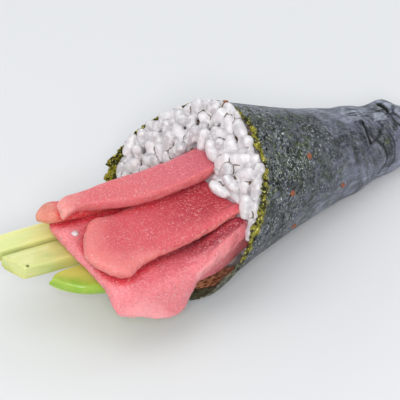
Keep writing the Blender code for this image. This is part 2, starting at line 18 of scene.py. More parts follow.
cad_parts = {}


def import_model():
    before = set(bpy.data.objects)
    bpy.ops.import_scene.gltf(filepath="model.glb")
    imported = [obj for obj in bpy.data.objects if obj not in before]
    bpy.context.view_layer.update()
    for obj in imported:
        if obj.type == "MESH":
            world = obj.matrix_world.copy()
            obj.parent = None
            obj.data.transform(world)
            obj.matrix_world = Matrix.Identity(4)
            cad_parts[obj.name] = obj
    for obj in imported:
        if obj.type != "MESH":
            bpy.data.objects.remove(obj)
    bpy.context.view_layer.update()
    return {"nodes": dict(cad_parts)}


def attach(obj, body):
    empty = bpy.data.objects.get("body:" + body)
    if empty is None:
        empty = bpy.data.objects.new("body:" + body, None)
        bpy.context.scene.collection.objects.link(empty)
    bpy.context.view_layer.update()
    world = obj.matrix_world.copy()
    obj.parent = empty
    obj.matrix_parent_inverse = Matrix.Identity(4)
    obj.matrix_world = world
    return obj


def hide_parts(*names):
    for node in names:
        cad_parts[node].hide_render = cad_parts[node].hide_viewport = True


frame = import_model()
print("solids:", sorted(frame["nodes"]))

# %% [markdown]
# ## The camera
# The roll is seen from its mouth's side, from rather high up and with a long lens, so that the
# cone hardly narrows by perspective. The camera is made first, since everything is judged by it.

# %% The camera
AZIMUTH = math.radians(-34)
ELEVATION = math.radians(43.62)
DISTANCE = 0.5             # metres, as for all that isn't the roll itself
LOOKS_AT = Vector((-0.02143, -0.00058, 0.02017))
FOCAL_LENGTH = 151.4       # millimetres, on a frame 36 mm wide


def add_object(name, data):
    """A new object in the scene."""
    made = bpy.data.objects.new(name, data)
    bpy.context.scene.collection.objects.link(made)
    return made


back = Vector((math.sin(AZIMUTH) * math.cos(ELEVATION),
               -math.cos(AZIMUTH) * math.cos(ELEVATION), math.sin(ELEVATION)))
camera = add_object("camera", bpy.data.cameras.new("camera"))
camera.location = LOOKS_AT + back * DISTANCE
camera.rotation_euler = (-back).to_track_quat("-Z", "Y").to_euler()
camera.data.lens = FOCAL_LENGTH
camera.data.sensor_width = 36
camera.data.clip_start = 0.01
bpy.context.scene.camera = camera
bpy.context.scene.view_settings.view_transform = "Standard"
print("camera at", [round(v, 3) for v in camera.location])

# %% [markdown]
# ## The cone's own frame
# The cone leans a little, so most sizes are easier to give along it: `out` runs from the middle
# of the mouth away from the tail, `near` is level and across, and `up` is across and upwards.
# A place on the wall is a distance along the axis towards the tail and an angle, which turns from
# the far side over the top. All are in millimetres, and Blender's metres come in at the end.

# %% The cone's own frame
MM = 0.001
MOUTH = np.array((-24.9, -0.58, 25.9))
TILT = math.radians(12.6)
OUT = np.array((-math.cos(TILT), 0, math.sin(TILT)))
NEAR = np.array((0, -1, 0))
UP = np.array((math.sin(TILT), 0, math.cos(TILT)))
NEXT_SEED = Vector((7.3, 3.1, 5.7))    # two seeds read the noise this far apart


def world(out, near, up):
    """Places in the cone's frame, in millimetres, as points in metres."""
    out, near, up = np.broadcast_arrays(out, near, up)
    return (MOUTH + out[..., None] * OUT + near[..., None] * NEAR + up[..., None] * UP) * MM


def local(points):
    """The other way round: points in metres as out, near and up."""
    away = np.asarray(points) / MM - MOUTH
    return away @ OUT, away @ NEAR, away @ UP


def smooth(low, high, value):
    """0 at low, 1 at high, eased between and flat beyond them."""
    part = np.clip((value - low) / (high - low), 0, 1)
    return part * part * (3 - 2 * part)


def bump(value, centre, width):
    """1 at the centre, fading like a bell."""
    return np.exp(-((value - centre) / width) ** 2)


def lumps(points, size, seed=0, detail=3):
    """Seeded unevenness, about -1 to 1, with bumps `size` millimetres across."""
    shift = NEXT_SEED * seed
    return np.array([noise.fractal(Vector(p) / size + shift, 1.0, 2.0, detail) for p in points])


def bumps_round(angle, bells):
    """Bells round the cone's turn, each with its height, its angle and its spread in degrees."""
    return sum(height * bump((np.degrees(angle) - degrees + 180) % 360 - 180, 0, spread)
               for height, degrees, spread in bells)


def across(radius, angle):
    """A turn round the axis as places near and up."""
    return -radius * np.cos(angle), radius * np.sin(angle)


print("the axis leans by", round(math.degrees(TILT), 1), "degrees")

# %% [markdown]
# ## Meshes
# Every piece ends as a plain mesh at the origin. The wound sheet and the rice are tubes, stacks of
# rings of points, so one helper gives the faces between rings and one closes the ends. Numbers
# that a finish needs to know about a point, such as how near it is to an edge, are stored on the
# mesh as named attributes.

# %% Meshes
def make_piece(name, verts, faces):
    """A smooth-shaded mesh object in the scene."""
    mesh = bpy.data.meshes.new(name)
    mesh.from_pydata(np.asarray(verts).tolist(), [], np.asarray(faces).tolist())
    mesh.shade_smooth()
    return add_object(name, mesh)


def tube_faces(rings, count):
    """Quads between rings of count points each."""
    ring, k = np.meshgrid(np.arange(rings - 1), np.arange(count), indexing="ij")
    a = ring * count + k
    b = ring * count + (k + 1) % count
    return np.stack((a, b, b + count, a + count), axis=-1).reshape(-1, 4)


def close_and_turn_out(piece):
    """Fill open ends with a fan and point every face outwards."""
    mesh = bmesh.new()
    mesh.from_mesh(piece.data)
    open_edges = [e for e in mesh.edges if e.is_boundary]
    for face in bmesh.ops.holes_fill(mesh, edges=open_edges, sides=0)["faces"]:
        bmesh.ops.poke(mesh, faces=[face])
    if mesh.calc_volume(signed=True) < 0:
        bmesh.ops.reverse_faces(mesh, faces=mesh.faces)
    mesh.to_mesh(piece.data)
    mesh.free()


def give(piece, name, values):
    """Store one number for each point."""
    layer = piece.data.attributes.new(name, "FLOAT", "POINT")
    layer.data.foreach_set("value", np.asarray(values, np.float32))


def points_of(piece):
    """All points of a piece and their normals, in metres."""
    count = len(piece.data.vertices)
    points = np.empty(count * 3, np.float32)
    normals = np.empty(count * 3, np.float32)
    piece.data.vertices.foreach_get("co", points)
    piece.data.vertex_normals.foreach_get("vector", normals)
    return points.reshape(-1, 3).astype(float), normals.reshape(-1, 3).astype(float)


def set_points(piece, points):
    piece.data.vertices.foreach_set("co", np.asarray(points, np.float32).ravel())
    piece.data.update()


def push_out(piece, heights):
    """Move each point along its normal, in millimetres."""
    points, normals = points_of(piece)
    set_points(piece, points + normals * heights[:, None] * MM)


def applied(piece, keep_all=False):
    """A plain mesh of a piece as its modifiers shape it."""
    graph = bpy.context.evaluated_depsgraph_get()
    return bpy.data.meshes.new_from_object(piece.evaluated_get(graph),
                                           preserve_all_data_layers=keep_all, depsgraph=graph)


def triangles(piece):
    piece.data.calc_loop_triangles()
    return len(piece.data.loop_triangles)


# %% [markdown]
# ## The seaweed: its form
# The sheet is a cone, but a hand rolled it: the rim flares, stands up in one place and is pressed
# in at another, the wall is slightly wavy, and near the tail the sheet's corner is wrapped over
# the roll and pulls pleats into it. Each of these is one term of the radius, so the whole wall is
# one formula and the mesh may be as fine as the light needs.

# %% The seaweed: its form
MOUTH_RADIUS = 27.0
VIRTUAL_LENGTH = 123.0     # from the mouth to where the straight taper would end
CONE_LENGTH = 116.0
TAIL_RADIUS = 2.4
TAIL_ROLL = (80, 116)      # along this stretch the taper turns into the tail's even roll
LEAST_RADIUS = 0.3
MOUTH_PITCH = 0.463        # the mouth leans back by these slopes
MOUTH_YAW = -0.094
SETBACK_FADES = 60.0       # along this length the leaning rim turns into square rings
RIM_FLARE = 0.9
FLARE_REACH = 10.0
# where the rim stands out or is pressed in: by how much, at which angle and how far round
RIM_DENTS = ((2.0, 222, 43), (1.0, 84, 28.6), (-1.8, 34, 28.6), (2.4, 336, 22), (-1.2, 234, 12))
WAIST = 0.9
WAIST_AT = (36, 22)
WAVES = ((0.35, 2, 17, 0.8), (0.22, 3, -11, 0.0))    # height, turns, length along and phase
WAVES_END = (95, 115)
CORNER = {"height": 2.0, "along": (74, 4.5), "turn": (72, 24)}
PLEAT = {"depth": 1.3, "along": (64, 4.5), "turn": (116, 13), "slope": -4}
CREASES = {"height": 0.35, "spacing": 16.3, "lean": 9, "starts": (44, 62), "ends": (88, 100)}
WALL = 0.8
LAYER = 0.4
FOLD_DEPTH = 2.3
FOLDS_START = (46, 58)
RESTS = (SETBACK_FADES, 109)    # along this stretch the roll comes to rest on the table
SUNK = 0.3                      # and this much of its underside is pressed flat


def setback(angle, share=1.0):
    """How far the mouth's plane lies towards the tail, at an angle round the cone."""
    return share * MOUTH_RADIUS * (MOUTH_PITCH * np.sin(angle) + MOUTH_YAW * np.cos(angle))


def from_rim(distance, angle):
    """Distance along the axis of a ring that follows the leaning rim."""
    return distance + setback(angle, np.maximum(0, 1 - distance / SETBACK_FADES))


def waves(along, angle):
    height = sum(size * np.sin(around * angle + along / length + phase)
                 for size, around, length, phase in WAVES)
    return height * (1 - smooth(*WAVES_END, along))


def smooth_radius(along, angle):
    """Outer radius of the sheet without the tail's folds."""
    straight = MOUTH_RADIUS * (1 - along / VIRTUAL_LENGTH) - WAIST * bump(along, *WAIST_AT)
    radius = np.hypot(np.maximum(straight, 0), TAIL_RADIUS * smooth(*TAIL_ROLL, along))
    flare = RIM_FLARE + bumps_round(angle, RIM_DENTS)
    distance = np.maximum(along - setback(angle), 0)
    return radius + flare * np.exp(-distance / FLARE_REACH) + waves(along, angle)


def inner_radius(along, angle):
    """Inside of the sheet, smooth below the folds, where more turns lie on one another."""
    folded = FOLD_DEPTH * smooth(*FOLDS_START, along)
    return np.maximum(smooth_radius(along, angle) - WALL - folded, LEAST_RADIUS)


def ring_points(along, angle, radius, floor=0.0):
    """Points of the cone's wall, lifted and flattened where it lies on the table."""
    axis_height = MOUTH[2] - along * math.sin(TILT)
    lift = np.maximum(0, radius * math.cos(TILT) - SUNK - axis_height)
    points = world(-along, *across(radius, angle))
    points[..., 2] += lift * smooth(*RESTS, along) * MM
    points[..., 2] = np.maximum(points[..., 2], floor * MM)
    return points


print("mouth", 2 * MOUTH_RADIUS, "mm across, cone", CONE_LENGTH, "mm long")

# %% [markdown]
# ## The seaweed: its folds
# Near the tail the sheet's loose edge crosses the roll and ends in the wrapped corner. Below it
# the paper-thin sheet has buckled into sharp creases. A crease is a short line on the wall, from
# one place (distance along, angle) to the next. The sheet dips along it, or steps down on one
# side of it where one layer lies over another.

# %% The seaweed: its folds
DARK_DIP = 0.7             # no light reaches the bottom of a dip this deep
STEP_REACH = 4             # a step dies out over this many widths of its dip
FAR = 99.0                 # millimetres, further than any place on the roll that is measured to
# (along, degrees) from end to end, then depth of the dip, its width and the step, millimetres
FOLD_LINES = (
    (((50, 80), (56, 92), (62, 104), (67, 116)), 0.30, 0.7, 0.45),
    (((59.9, 108), (59.2, 122), (60.0, 137)), 0.85, 0.7, 0.4),
    (((66.5, 121), (60.5, 107)), 0.25, 0.6, 0.9),
    (((72.4, 76), (73.6, 91)), 0.95, 0.7, 0.0),
    (((60.5, 138), (65, 129), (69, 112)), 0.45, 0.8, 0.2),
    (((63, 136), (65.5, 150), (67, 170), (66, 190)), 0.55, 0.7, 0.3),
    (((69, 120), (71, 144), (71, 172), (69, 196)), 0.50, 0.7, 0.25),
    (((74, 108), (77, 130), (77, 160)), 0.50, 0.8, 0.0),
    (((55, 118), (57, 140), (58, 158)), 0.22, 0.7, 0.15),
    (((46, 170), (58, 184), (72, 200)), 0.25, 0.8, 0.1),
    (((70, 84), (73, 96), (79, 104)), 0.45, 0.8, 0.2),
    (((40, 150), (50, 160), (58, 176)), 0.12, 0.8, 0.0),
    (((28, 96), (42, 101), (56, 108)), 0.10, 0.9, 0.0),
    (((14.0, 132), (11.4, 150), (8.6, 166)), 0.30, 0.45, 0.12),
)


def fold_line(along, angle, path, depth, width, step):
    """The dip along one line and the step down beside it."""
    degrees = np.degrees(angle) % 360
    nearest = np.full(np.shape(along), FAR)
    side = np.zeros(np.shape(along))
    for (a0, d0), (a1, d1) in zip(path, path[1:]):
        radius = MOUTH_RADIUS * (1 - a0 / VIRTUAL_LENGTH)
        aside = np.radians(degrees - d0) * radius
        ahead = along - a0
        run = a1 - a0
        rise = math.radians(d1 - d0) * radius
        length = math.hypot(run, rise)
        share = np.clip((ahead * run + aside * rise) / length ** 2, 0, 1)
        distance = np.hypot(ahead - share * run, aside - share * rise)
        closer = distance < nearest
        nearest = np.where(closer, distance, nearest)
        side = np.where(closer, (ahead * rise - aside * run) / length, side)
    dip = depth * bump(nearest, 0, width)
    return dip, step * smooth(0, width, side) * bump(nearest, 0, STEP_REACH * width)


def tail_folds(along, angle):
    """Relief of the rolled tail: the wrapped corner, a pleat, ring creases and the fold lines.
    Also how deep a point lies in a fold line, where little light gets."""
    degrees = np.degrees(angle) % 360
    relief = CORNER["height"] * bump(along, *CORNER["along"]) * bump(degrees, *CORNER["turn"])
    run = PLEAT["turn"][0] + (along - PLEAT["along"][0]) * PLEAT["slope"]
    relief -= PLEAT["depth"] * bump(along, *PLEAT["along"]) * bump(degrees, run, PLEAT["turn"][1])
    turn = 2 * math.pi * (along + CREASES["lean"] * np.sin(angle)) / CREASES["spacing"]
    fade = smooth(*CREASES["starts"], along) * (1 - smooth(*CREASES["ends"], along))
    relief += CREASES["height"] * np.sin(turn) * fade
    deepest = np.zeros(np.shape(along))
    for line in FOLD_LINES:
        dip, drop = fold_line(along, angle, *line)
        relief -= dip + drop
        deepest = np.maximum(deepest, dip)
    return relief, np.clip(deepest / DARK_DIP, 0, 1)


print(len(FOLD_LINES), "fold lines")

# %% [markdown]
# ## The seaweed: the sheet
# The wall is a tube of rings from the tail to the rim, over the cut edge of the outer layer, out
# along the ragged lip of the inner one, and back inside. The lip is softened by the rice, so it
# frays and crinkles. The dry outer face has small crumples, drawn out along the cone. Each point
# keeps its distance from the rim, its angle, how bare and how deep in a fold it is, and how green.

# %% The seaweed: the sheet
AROUND = 300
LIP = 0.3                  # the inner layer reaches this far past the outer one
# and more near these angles: by how much, at which angle and how far round
LIP_SHOWS = ((0.4, 108, 22), (1.3, 117, 6), (1.0, 147, 7), (1.4, 168, 13), (1.6, 201, 8),
             (0.6, 222, 22), (1.0, 342, 12))
TRIMMED = ((1.3, 15, 24), (0.8, 55, 18))   # the sheet is cut back there, and rice reaches the edge
LIP_FRAYS = 1.1            # its tatters, as a share of its reach and of
FRAYS_ANYWAY = 0.4         # this much more, so that a lip which hardly shows frays as well
FRAY_SIZES = (1.6, 0.6)    # lengths of the tatters round the rim
RAGGED_CUT = (0.35, 2.2)   # height and size of the outer layer's uneven edge
CUT_REACH = 3              # the rows follow that edge less and less over this distance
ROUNDED = 0.02             # the cut edge is eased by this much
CRINKLE = (0.30, 1.3)      # height and size of the lip's crinkles
CRINKLE_REACH = 2
ROUGH = ((0.16, 4.5), (0.05, 1.1))         # height and size of the outer face's crumples
CRUMPLES_LONG = 3          # they are this much longer along the cone than across it
# rows from the tail to the rim: first and last distance, and how many
OUTER_ROWS = ((115, 84, 36), (83.5, 40, 104), (39.4, 0.3, 74))
INNER_ROWS = (0.6, 1.4, 2.3, 3.4, 5, 7, 9.5, 12, 18, 26, 36, 49, 62, 75, 88, 104, 109)
# green places: distance along and its reach, then the angle and its spread
MOSSY = (((14, 8), (100, 30)), ((20, 16), (140, 26)), ((53, 4), (140, 12)), ((67, 3), (143, 9)),
         ((74, 4), (78, 12)))


def lip_reach(angle):
    return LIP + bumps_round(angle, LIP_SHOWS)


def mossy(along, angle):
    """Where the sheet shows more of its green."""
    return sum(bump(along, *place) * bumps_round(angle, [(1, *turn)]) for place, turn in MOSSY)


def sheet_rows(angle):
    """Rows of points: the distance from the rim, the depth below the outer face, and how far it
    is the bare inner layer that shows."""
    ring = np.stack((np.cos(angle), np.sin(angle), angle * 0), axis=-1) * MOUTH_RADIUS
    tatter = lumps(ring, FRAY_SIZES[0], 3) + 0.6 * lumps(ring, FRAY_SIZES[1], 4)
    lip = lip_reach(angle)
    fray = LIP_FRAYS * (FRAYS_ANYWAY + lip) * np.clip(0.5 + 0.9 * tatter, 0, 1)
    tip = -(lip + fray)
    height, size = RAGGED_CUT
    cut = height * lumps(ring, size, 5) + bumps_round(angle, TRIMMED)
    outer = np.concatenate([np.linspace(*stretch) for stretch in OUTER_ROWS])
    return ([(distance + cut * math.exp(-distance / CUT_REACH), 0.0, 0.0) for distance in outer]
            + [(cut, ROUNDED, 0.1), (cut + ROUNDED, LAYER - ROUNDED, 0.6)]
            + [(cut * (1 - share) + share * tip, LAYER, 1.0) for share in np.linspace(0, 1, 7)[1:]]
            + [(tip + 0.05, WALL, 1.0)]
            + [(tip * share, WALL, 1.0) for share in (0.75, 0.45, 0.15)]
            + [(distance, WALL, 1.0) for distance in INNER_ROWS])


def build_sheet():
    angle = 2 * math.pi * np.arange(AROUND) / AROUND
    rings = []
    facts = []
    for distance, depth, bare in sheet_rows(angle):
        distance = distance + angle * 0
        along = np.minimum(from_rim(distance, angle), CONE_LENGTH)
        outer = smooth_radius(along, angle)
        radius = outer - depth
        folded = angle * 0
        if bare < 1:
            relief, folded = tail_folds(along, angle)
            radius = radius + relief
        elif depth >= WALL:
            radius = np.where(distance > 0, inner_radius(along, angle), radius)
        flat = np.stack((along / CRUMPLES_LONG, radius * np.cos(angle), radius * np.sin(angle)),
                        axis=-1)
        rough = sum(height * lumps(flat, size, seed)
                    for seed, (height, size) in enumerate(ROUGH, start=1))
        crinkle = CRINKLE[0] * lumps(flat * (CRUMPLES_LONG, 1, 1), CRINKLE[1], 6)
        lip = np.exp(-np.maximum(distance, 0) / CRINKLE_REACH) * bare
        radius = radius + rough * (1 - bare) + crinkle * lip
        rings.append(ring_points(along, angle, np.maximum(radius, LEAST_RADIUS), depth))
        facts.append(np.stack((distance, angle, angle * 0 + bare, folded, mossy(along, angle)),
                              axis=-1))
    verts = np.concatenate(rings)
    sheet = make_piece("nori_sheet", verts, tube_faces(len(rings), AROUND))
    facts = np.concatenate(facts)
    # folded: how deep a point lies in a fold line, for the shade painted there
    for name, values in zip(("from_rim", "turn", "bare", "folded", "mossy"), facts.T):
        give(sheet, name, values)
    close_and_turn_out(sheet)
    return sheet


nori = build_sheet()
print("seaweed:", triangles(nori), "triangles")

# %% [markdown]
# ## Slices: a fine skin over the solids
# The tuna, the avocado and the batons are soft, plump shapes. Their solids already have the right
# form, with few faces, so each one is used as a cage: its triangles are merged and paired into
# quads again, and a Subdivision Surface rounds it. Rounding would shrink the slice, so the cage
# is first swelled until the rounded skin passes through the solid's own corners. Then the points
# are moved a little along their normals, as cut fish is never quite smooth: soft lumps all over,
# dents along the edge, and three low swellings where the lowest slice is squeezed out beside those
# on it and over the sheet. What the finish needs is stored: how close a point lies under another
# slice, how far it is from the slice's edge, its place out and near, and how far it looks to the
# near side.

# %% Slices: a fine skin over the solids
FITS = 3                   # rounding shrinks a cage, so it is swelled until its corners match
MOST_SWELL = 0.9           # but by no more than this
ROUNDING = 3               # times that each face is halved both ways
SAME_POINT = 0.00001       # metres
PAIR_ANGLE = math.radians(50)    # triangles that bend less than this are paired into quads
PAIR_SKEW = math.radians(60)     # if the quad's corners are no further from square than this


def fine_copy(node, fits=FITS):
    """The solid of a node, subdivided, as a new plain mesh."""
    name = node + "_flesh"
    cage = bmesh.new()
    cage.from_mesh(frame["nodes"][node].data)
    bmesh.ops.remove_doubles(cage, verts=cage.verts, dist=SAME_POINT)
    bmesh.ops.join_triangles(cage, faces=cage.faces, angle_face_threshold=PAIR_ANGLE,
                             angle_shape_threshold=PAIR_SKEW, cmp_seam=False)
    mesh = bpy.data.meshes.new(name)
    cage.to_mesh(mesh)
    cage.free()
    piece = add_object(name, mesh)
    rounding = piece.modifiers.new("rounding", "SUBSURF")
    rounding.levels = 1
    rounding.render_levels = ROUNDING
    wanted, _ = points_of(piece)
    held = wanted
    for _ in range(fits):
        graph = bpy.context.evaluated_depsgraph_get()
        rounded, _ = points_of(piece.evaluated_get(graph))
        swell = held - rounded[:len(wanted)]
        length = np.linalg.norm(swell, axis=1, keepdims=True)
        held = wanted + swell * np.minimum(1, MOST_SWELL * MM / np.maximum(length, 1e-9))
        set_points(piece, held)
    rounding.levels = ROUNDING
    piece.data = applied(piece)
    piece.data.name = name
    piece.modifiers.clear()
    piece.data.shade_smooth()
    return piece


def tree_of(piece):
    mesh = piece.data
    faces = [tuple(f.vertices) for f in mesh.polygons]
    return BVHTree.FromPolygons([v.co for v in mesh.vertices], faces)


def nearness(points, trees, reach):
    """1 where a point touches one of the trees' pieces, fading to 0 at a distance."""
    near = np.zeros(len(points))
    for tree in trees:
        for k, point in enumerate(points):
            hit = tree.find_nearest(point, reach * MM)
            if hit[0] is not None:
                near[k] = max(near[k], 1 - hit[3] / (reach * MM))
    return near


EDGE_RATIO = 2.2           # a line straight in is this much longer where a slice's edge is rounded
JUST_INSIDE = 0.05


def from_edge(points, normals, tree):
    """Distance in millimetres from the slice's rounded edge."""
    through = np.full(len(points), 1.0)
    for k, (point, normal) in enumerate(zip(points, normals)):
        hit = tree.ray_cast(Vector(point - normal * JUST_INSIDE * MM), Vector(-normal))
        if hit[0] is not None:
            through[k] = hit[3]
    at_edge = np.flatnonzero(through > EDGE_RATIO * np.median(through))
    edge = KDTree(len(at_edge))
    for k in at_edge:
        edge.insert(points[k], int(k))
    edge.balance()
    return np.array([edge.find(point)[2] / MM for point in points])


# %% The tuna slices
SLICES = {"tuna_lower": 11, "tuna_back": 12, "tuna_middle": 13, "tuna_top": 14}
SLICE_LUMPS = ((0.22, 11.0), (0.07, 3.2), (0.03, 0.9))   # height and size of each roughness
RAGGED = (0.3, 1.2, 1.7)   # height, reach and size of the dents along a slice's edge
CREASE_REACH = 5.0
# the lowest slice swells in the gaps beside those on it and towards the sheet: the way that the
# swelling face looks, the swell's height, then its place and spread along out and near
SWELLS = ((UP, 2.4, 27.0, 13.0, -3.2, 2.6), (UP, 1.2, 1.0, 6.0, 18.3, 2.0),
          (NEAR, 2.3, 3.0, 4.0, 20.0, 3.0))
LIES_UNDER = {"tuna_lower": ("tuna_middle", "tuna_back"), "tuna_back": ("tuna_top",),
              "tuna_middle": ("tuna_top",), "tuna_top": ()}
FACES_THERE = (0.2, 0.7)   # how far a face must look that way to swell at all, and fully


def swelling(points, normals):
    out, near, _ = local(points)
    return sum(height * smooth(*FACES_THERE, normals @ way)
               * bump(out, at_out, long) * bump(near, at_near, wide)
               for way, height, at_out, long, at_near, wide in SWELLS)


flesh = {name: fine_copy(name) for name in SLICES}
for name, seed in SLICES.items():
    points, normals = points_of(flesh[name])
    relief = sum(height * lumps(points / MM, size, seed, 2) for height, size in SLICE_LUMPS)
    if name == "tuna_lower":
        relief = relief + swelling(points, normals)
    push_out(flesh[name], relief)
trees = {name: tree_of(piece) for name, piece in flesh.items()}
for name, piece in flesh.items():
    points, normals = points_of(piece)
    above = [trees[other] for other in LIES_UNDER[name]]
    # these numbers place the tuna finish's painted shade, glow and light
    give(piece, "crease", nearness(points, above, CREASE_REACH))
    edge = from_edge(points, normals, trees[name])
    give(piece, "from_edge", edge)
    height, reach, size = RAGGED
    push_out(piece, height * np.exp(-edge / reach) * lumps(points / MM, size, SLICES[name] + 9, 2))
    out, near, _ = local(points)
    give(piece, "outwards", out)
    give(piece, "near", near)
    give(piece, "side", normals @ NEAR)
    print(name, triangles(piece), "triangles")

# %% [markdown]
# ## Batons and avocado
# They are firmer than the fish and were cut with a knife, so their flanks stay straight and
# only their edges are eased. Their colour changes from the pale heart to the green rind side,
# so each point keeps its place in the cone's frame: out, near and up.

# %% Batons and avocado
GREENS = {"baton_upper": 21, "baton_lower": 22, "avocado_slice": 23}
GREEN_LUMPS = ((0.10, 3.5, 0), (0.03, 0.8, 5))    # height, size and what is added to the seed
KNIFE_LINES = (0.25, 1, 1)                        # they are four times as long as they are wide

greens = {name: fine_copy(name, fits=0) for name in GREENS}
for name, piece in greens.items():
    points, _ = points_of(piece)
    push_out(piece, sum(height * lumps(points / MM * KNIFE_LINES, size, GREENS[name] + more, 2)
                        for height, size, more in GREEN_LUMPS))
    for fact, values in zip(("outwards", "near", "up"), local(points)):
        give(piece, fact, values)
    print(name, triangles(piece), "triangles")

# %% [markdown]
# ## Rice: the heap
# The rice fills the cone. Its face bulges from the mouth, climbs to the rim at the far side and
# falls back below the fillings. A plain core stands for the packed inside, and real grains lie in
# its face. They are laid from the top down, so that whole grains lie uppermost, as in a packed
# handful, and deeper and broken ones only fill what is left open. Each is treated as a short rod
# with round ends, and a new rod may come no nearer to the others than a share of its thickness.
# The share is smaller further down, where the grains are squeezed most.

# %% Rice: the heap
GRAIN_LENGTH = 7.2
GRAIN_WIDTH = 4.1
GRAIN_THICKNESS = 3.7
HALF_ROD = (GRAIN_LENGTH - GRAIN_WIDTH) / 2    # from a grain's middle to that of its round end
RICE_BULGE = 3.5
RICE_EDGE_SETBACK = 2.2
RICE_LOW_SETBACK = 12.0
RICE_LOW = (-18.0, -7.0)   # between these heights the face falls back
RICE_LOW_LEAN = 0.3
RICE_RISES = ((2.0, 355, 40), (1.2, 60, 30))   # the face climbs to the rim near these angles
CORE_DEPTH = 1.6           # the core's face lies this far behind the grains'
CORE_GAP = 0.3             # and its sides this far inside the sheet
CORE_AROUND = 120
CORE_ROWS = (104, 96, 88, 75, 62, 49, 36, 24, 12)
CORE_FACE = (1.0, 0.94, 0.86, 0.77, 0.68, 0.57, 0.46, 0.34, 0.22, 0.1)   # shares of its radius


def rice_front(near, up):
    """The heap's face in the mouth, as a distance out along the axis."""
    share = np.minimum(np.hypot(near, up) / MOUTH_RADIUS, 1)
    front = MOUTH_YAW * near - MOUTH_PITCH * up
    front = front + RICE_BULGE * (1 - share ** 2) - RICE_EDGE_SETBACK * share ** 4
    front = front + share ** 4 * bumps_round(np.arctan2(up, -near), RICE_RISES)
    return front - RICE_LOW_SETBACK * (1 - smooth(*RICE_LOW, up - RICE_LOW_LEAN * near))


def build_core():
    angle = 2 * math.pi * np.arange(CORE_AROUND) / CORE_AROUND
    rings = []
    for distance in CORE_ROWS:
        along = from_rim(distance + angle * 0, angle)
        rings.append(ring_points(along, angle, inner_radius(along, angle) - CORE_GAP,
                                 WALL + CORE_GAP))
    edge = rice_front(*across(MOUTH_RADIUS, angle))
    for share in CORE_FACE:
        near, up = across((inner_radius(-edge, angle) - CORE_GAP) * share, angle)
        ring = world(rice_front(near, up) - CORE_DEPTH, near, up)
        ring[:, 2] = np.maximum(ring[:, 2], (WALL + CORE_GAP) * MM)
        rings.append(ring)
    core = make_piece("rice_core", np.concatenate(rings), tube_faces(len(rings), CORE_AROUND))
    close_and_turn_out(core)
    return core


core = build_core()
print("rice core:", triangles(core), "triangles")

# %% Rice: where each grain lies
GRAIN_SEED = 5
# layers, the topmost first, then broken grains that fill the gaps: how far out their middles lie
# from the face, how much they tip, their sizes, how many are tried, and the share of a grain's
# width that its neighbours leave it
LAYERS = (
    ((0.1, 0.9), 0.28, (0.92, 1.1), 2500, 0.80),
    ((-0.7, 0.1), 0.22, (0.88, 1.08), 6000, 0.68),
    ((-1.7, -0.9), 0.15, (0.86, 1.1), 4000, 0.56),
    ((-1.0, -0.1), 0.3, (0.62, 0.78), 1800, 0.56),
)
OVER_RIM = 0.2             # past the rim a grain may lie this far outside the wall
FROM_WALL = 0.42           # a grain's middle line keeps this share of its width from the sheet
FROM_FILLING = 0.8         # and this share of its squeezed half width from a filling
fillings = [tree_of(piece) for piece in (*flesh.values(), *greens.values())]


def rods_apart(middle, axis, half, middles, axes, halves):
    """Least distance between one rod and all the others, by their nearest points."""
    gap = middle - middles
    b = axes @ axis
    d = gap @ axis
    e = np.einsum("ij,ij->i", axes, gap)
    flat = np.maximum(1 - b * b, 1e-6)
    s = np.clip((b * e - d) / flat, -half, half)
    t = np.clip(b * s + e, -halves, halves)
    s = np.clip(b * t - d, -half, half)
    return np.linalg.norm(gap + s[:, None] * axis - t[:, None] * axes, axis=1)


def clear_of_wall(ends, radius):
    """True where a rod lies within the sheet, or stands a little over its rim."""
    out, near, up = ends.T
    angle = np.arctan2(up, -near)
    wall = smooth_radius(-out, angle)
    past_rim = -out < setback(angle) + bumps_round(angle, TRIMMED) - lip_reach(angle)
    limit = np.where(past_rim, wall + OVER_RIM, wall - WALL) - radius
    return bool(np.all(np.hypot(near, up) < limit))


def clear_of_fillings(ends, radius):
    for share in (0.0, 0.5, 1.0):
        point = Vector(world(*(ends[0] * (1 - share) + ends[1] * share)))
        for tree in fillings:
            spot, normal, _, distance = tree.find_nearest(point)
            inside = (point - spot).dot(normal) < 0 and distance < GRAIN_WIDTH * MM
            if inside or distance < radius * FROM_FILLING * MM:
                return False
    return True


def lay_grains():
    draw = random.Random(GRAIN_SEED)
    middles = np.zeros((0, 3))
    axes = np.zeros((0, 3))
    sizes = np.zeros(0)
    for depths, tip, scales, tries, squeeze in LAYERS:
        for _ in range(tries):
            radius = MOUTH_RADIUS * math.sqrt(draw.random())
            angle = draw.uniform(0, 2 * math.pi)
            near, up = across(radius, angle)
            spin = draw.uniform(0, 2 * math.pi)
            axis = np.array((draw.gauss(0, tip), math.cos(spin), math.sin(spin)))
            axis /= np.linalg.norm(axis)
            size = draw.uniform(*scales)
            middle = np.array((float(rice_front(near, up)) + draw.uniform(*depths), near, up))
            half = HALF_ROD * size
            thick = GRAIN_WIDTH * size * squeeze
            gaps = rods_apart(middle, axis, half, middles, axes, HALF_ROD * sizes)
            if len(gaps) and gaps.min() < thick:
                continue
            ends = np.array((middle - axis * half, middle + axis * half))
            held = clear_of_wall(ends, GRAIN_WIDTH * size * FROM_WALL)
            if held and clear_of_fillings(ends, thick / 2):
                middles = np.vstack((middles, middle))
                axes = np.vstack((axes, axis))
                sizes = np.append(sizes, size)
    return middles, axes, sizes


middles, axes, sizes = lay_grains()
print(len(sizes), "grains of rice")

# %% [markdown]
# ## Rice: the grains
# The grains are one shape, repeated, which is work for Geometry Nodes. The object holds only one
# point for each grain, with its turn and size stored on it. The tree makes a grain from a sphere,
# blunts and bends it, puts it on every point, makes the copies real and dents them a little with
# noise, so that no two are the same. Its sizes are named inputs, and its noise has a fixed place.
# Number sockets are wrapped, so that a formula for them reads as one.

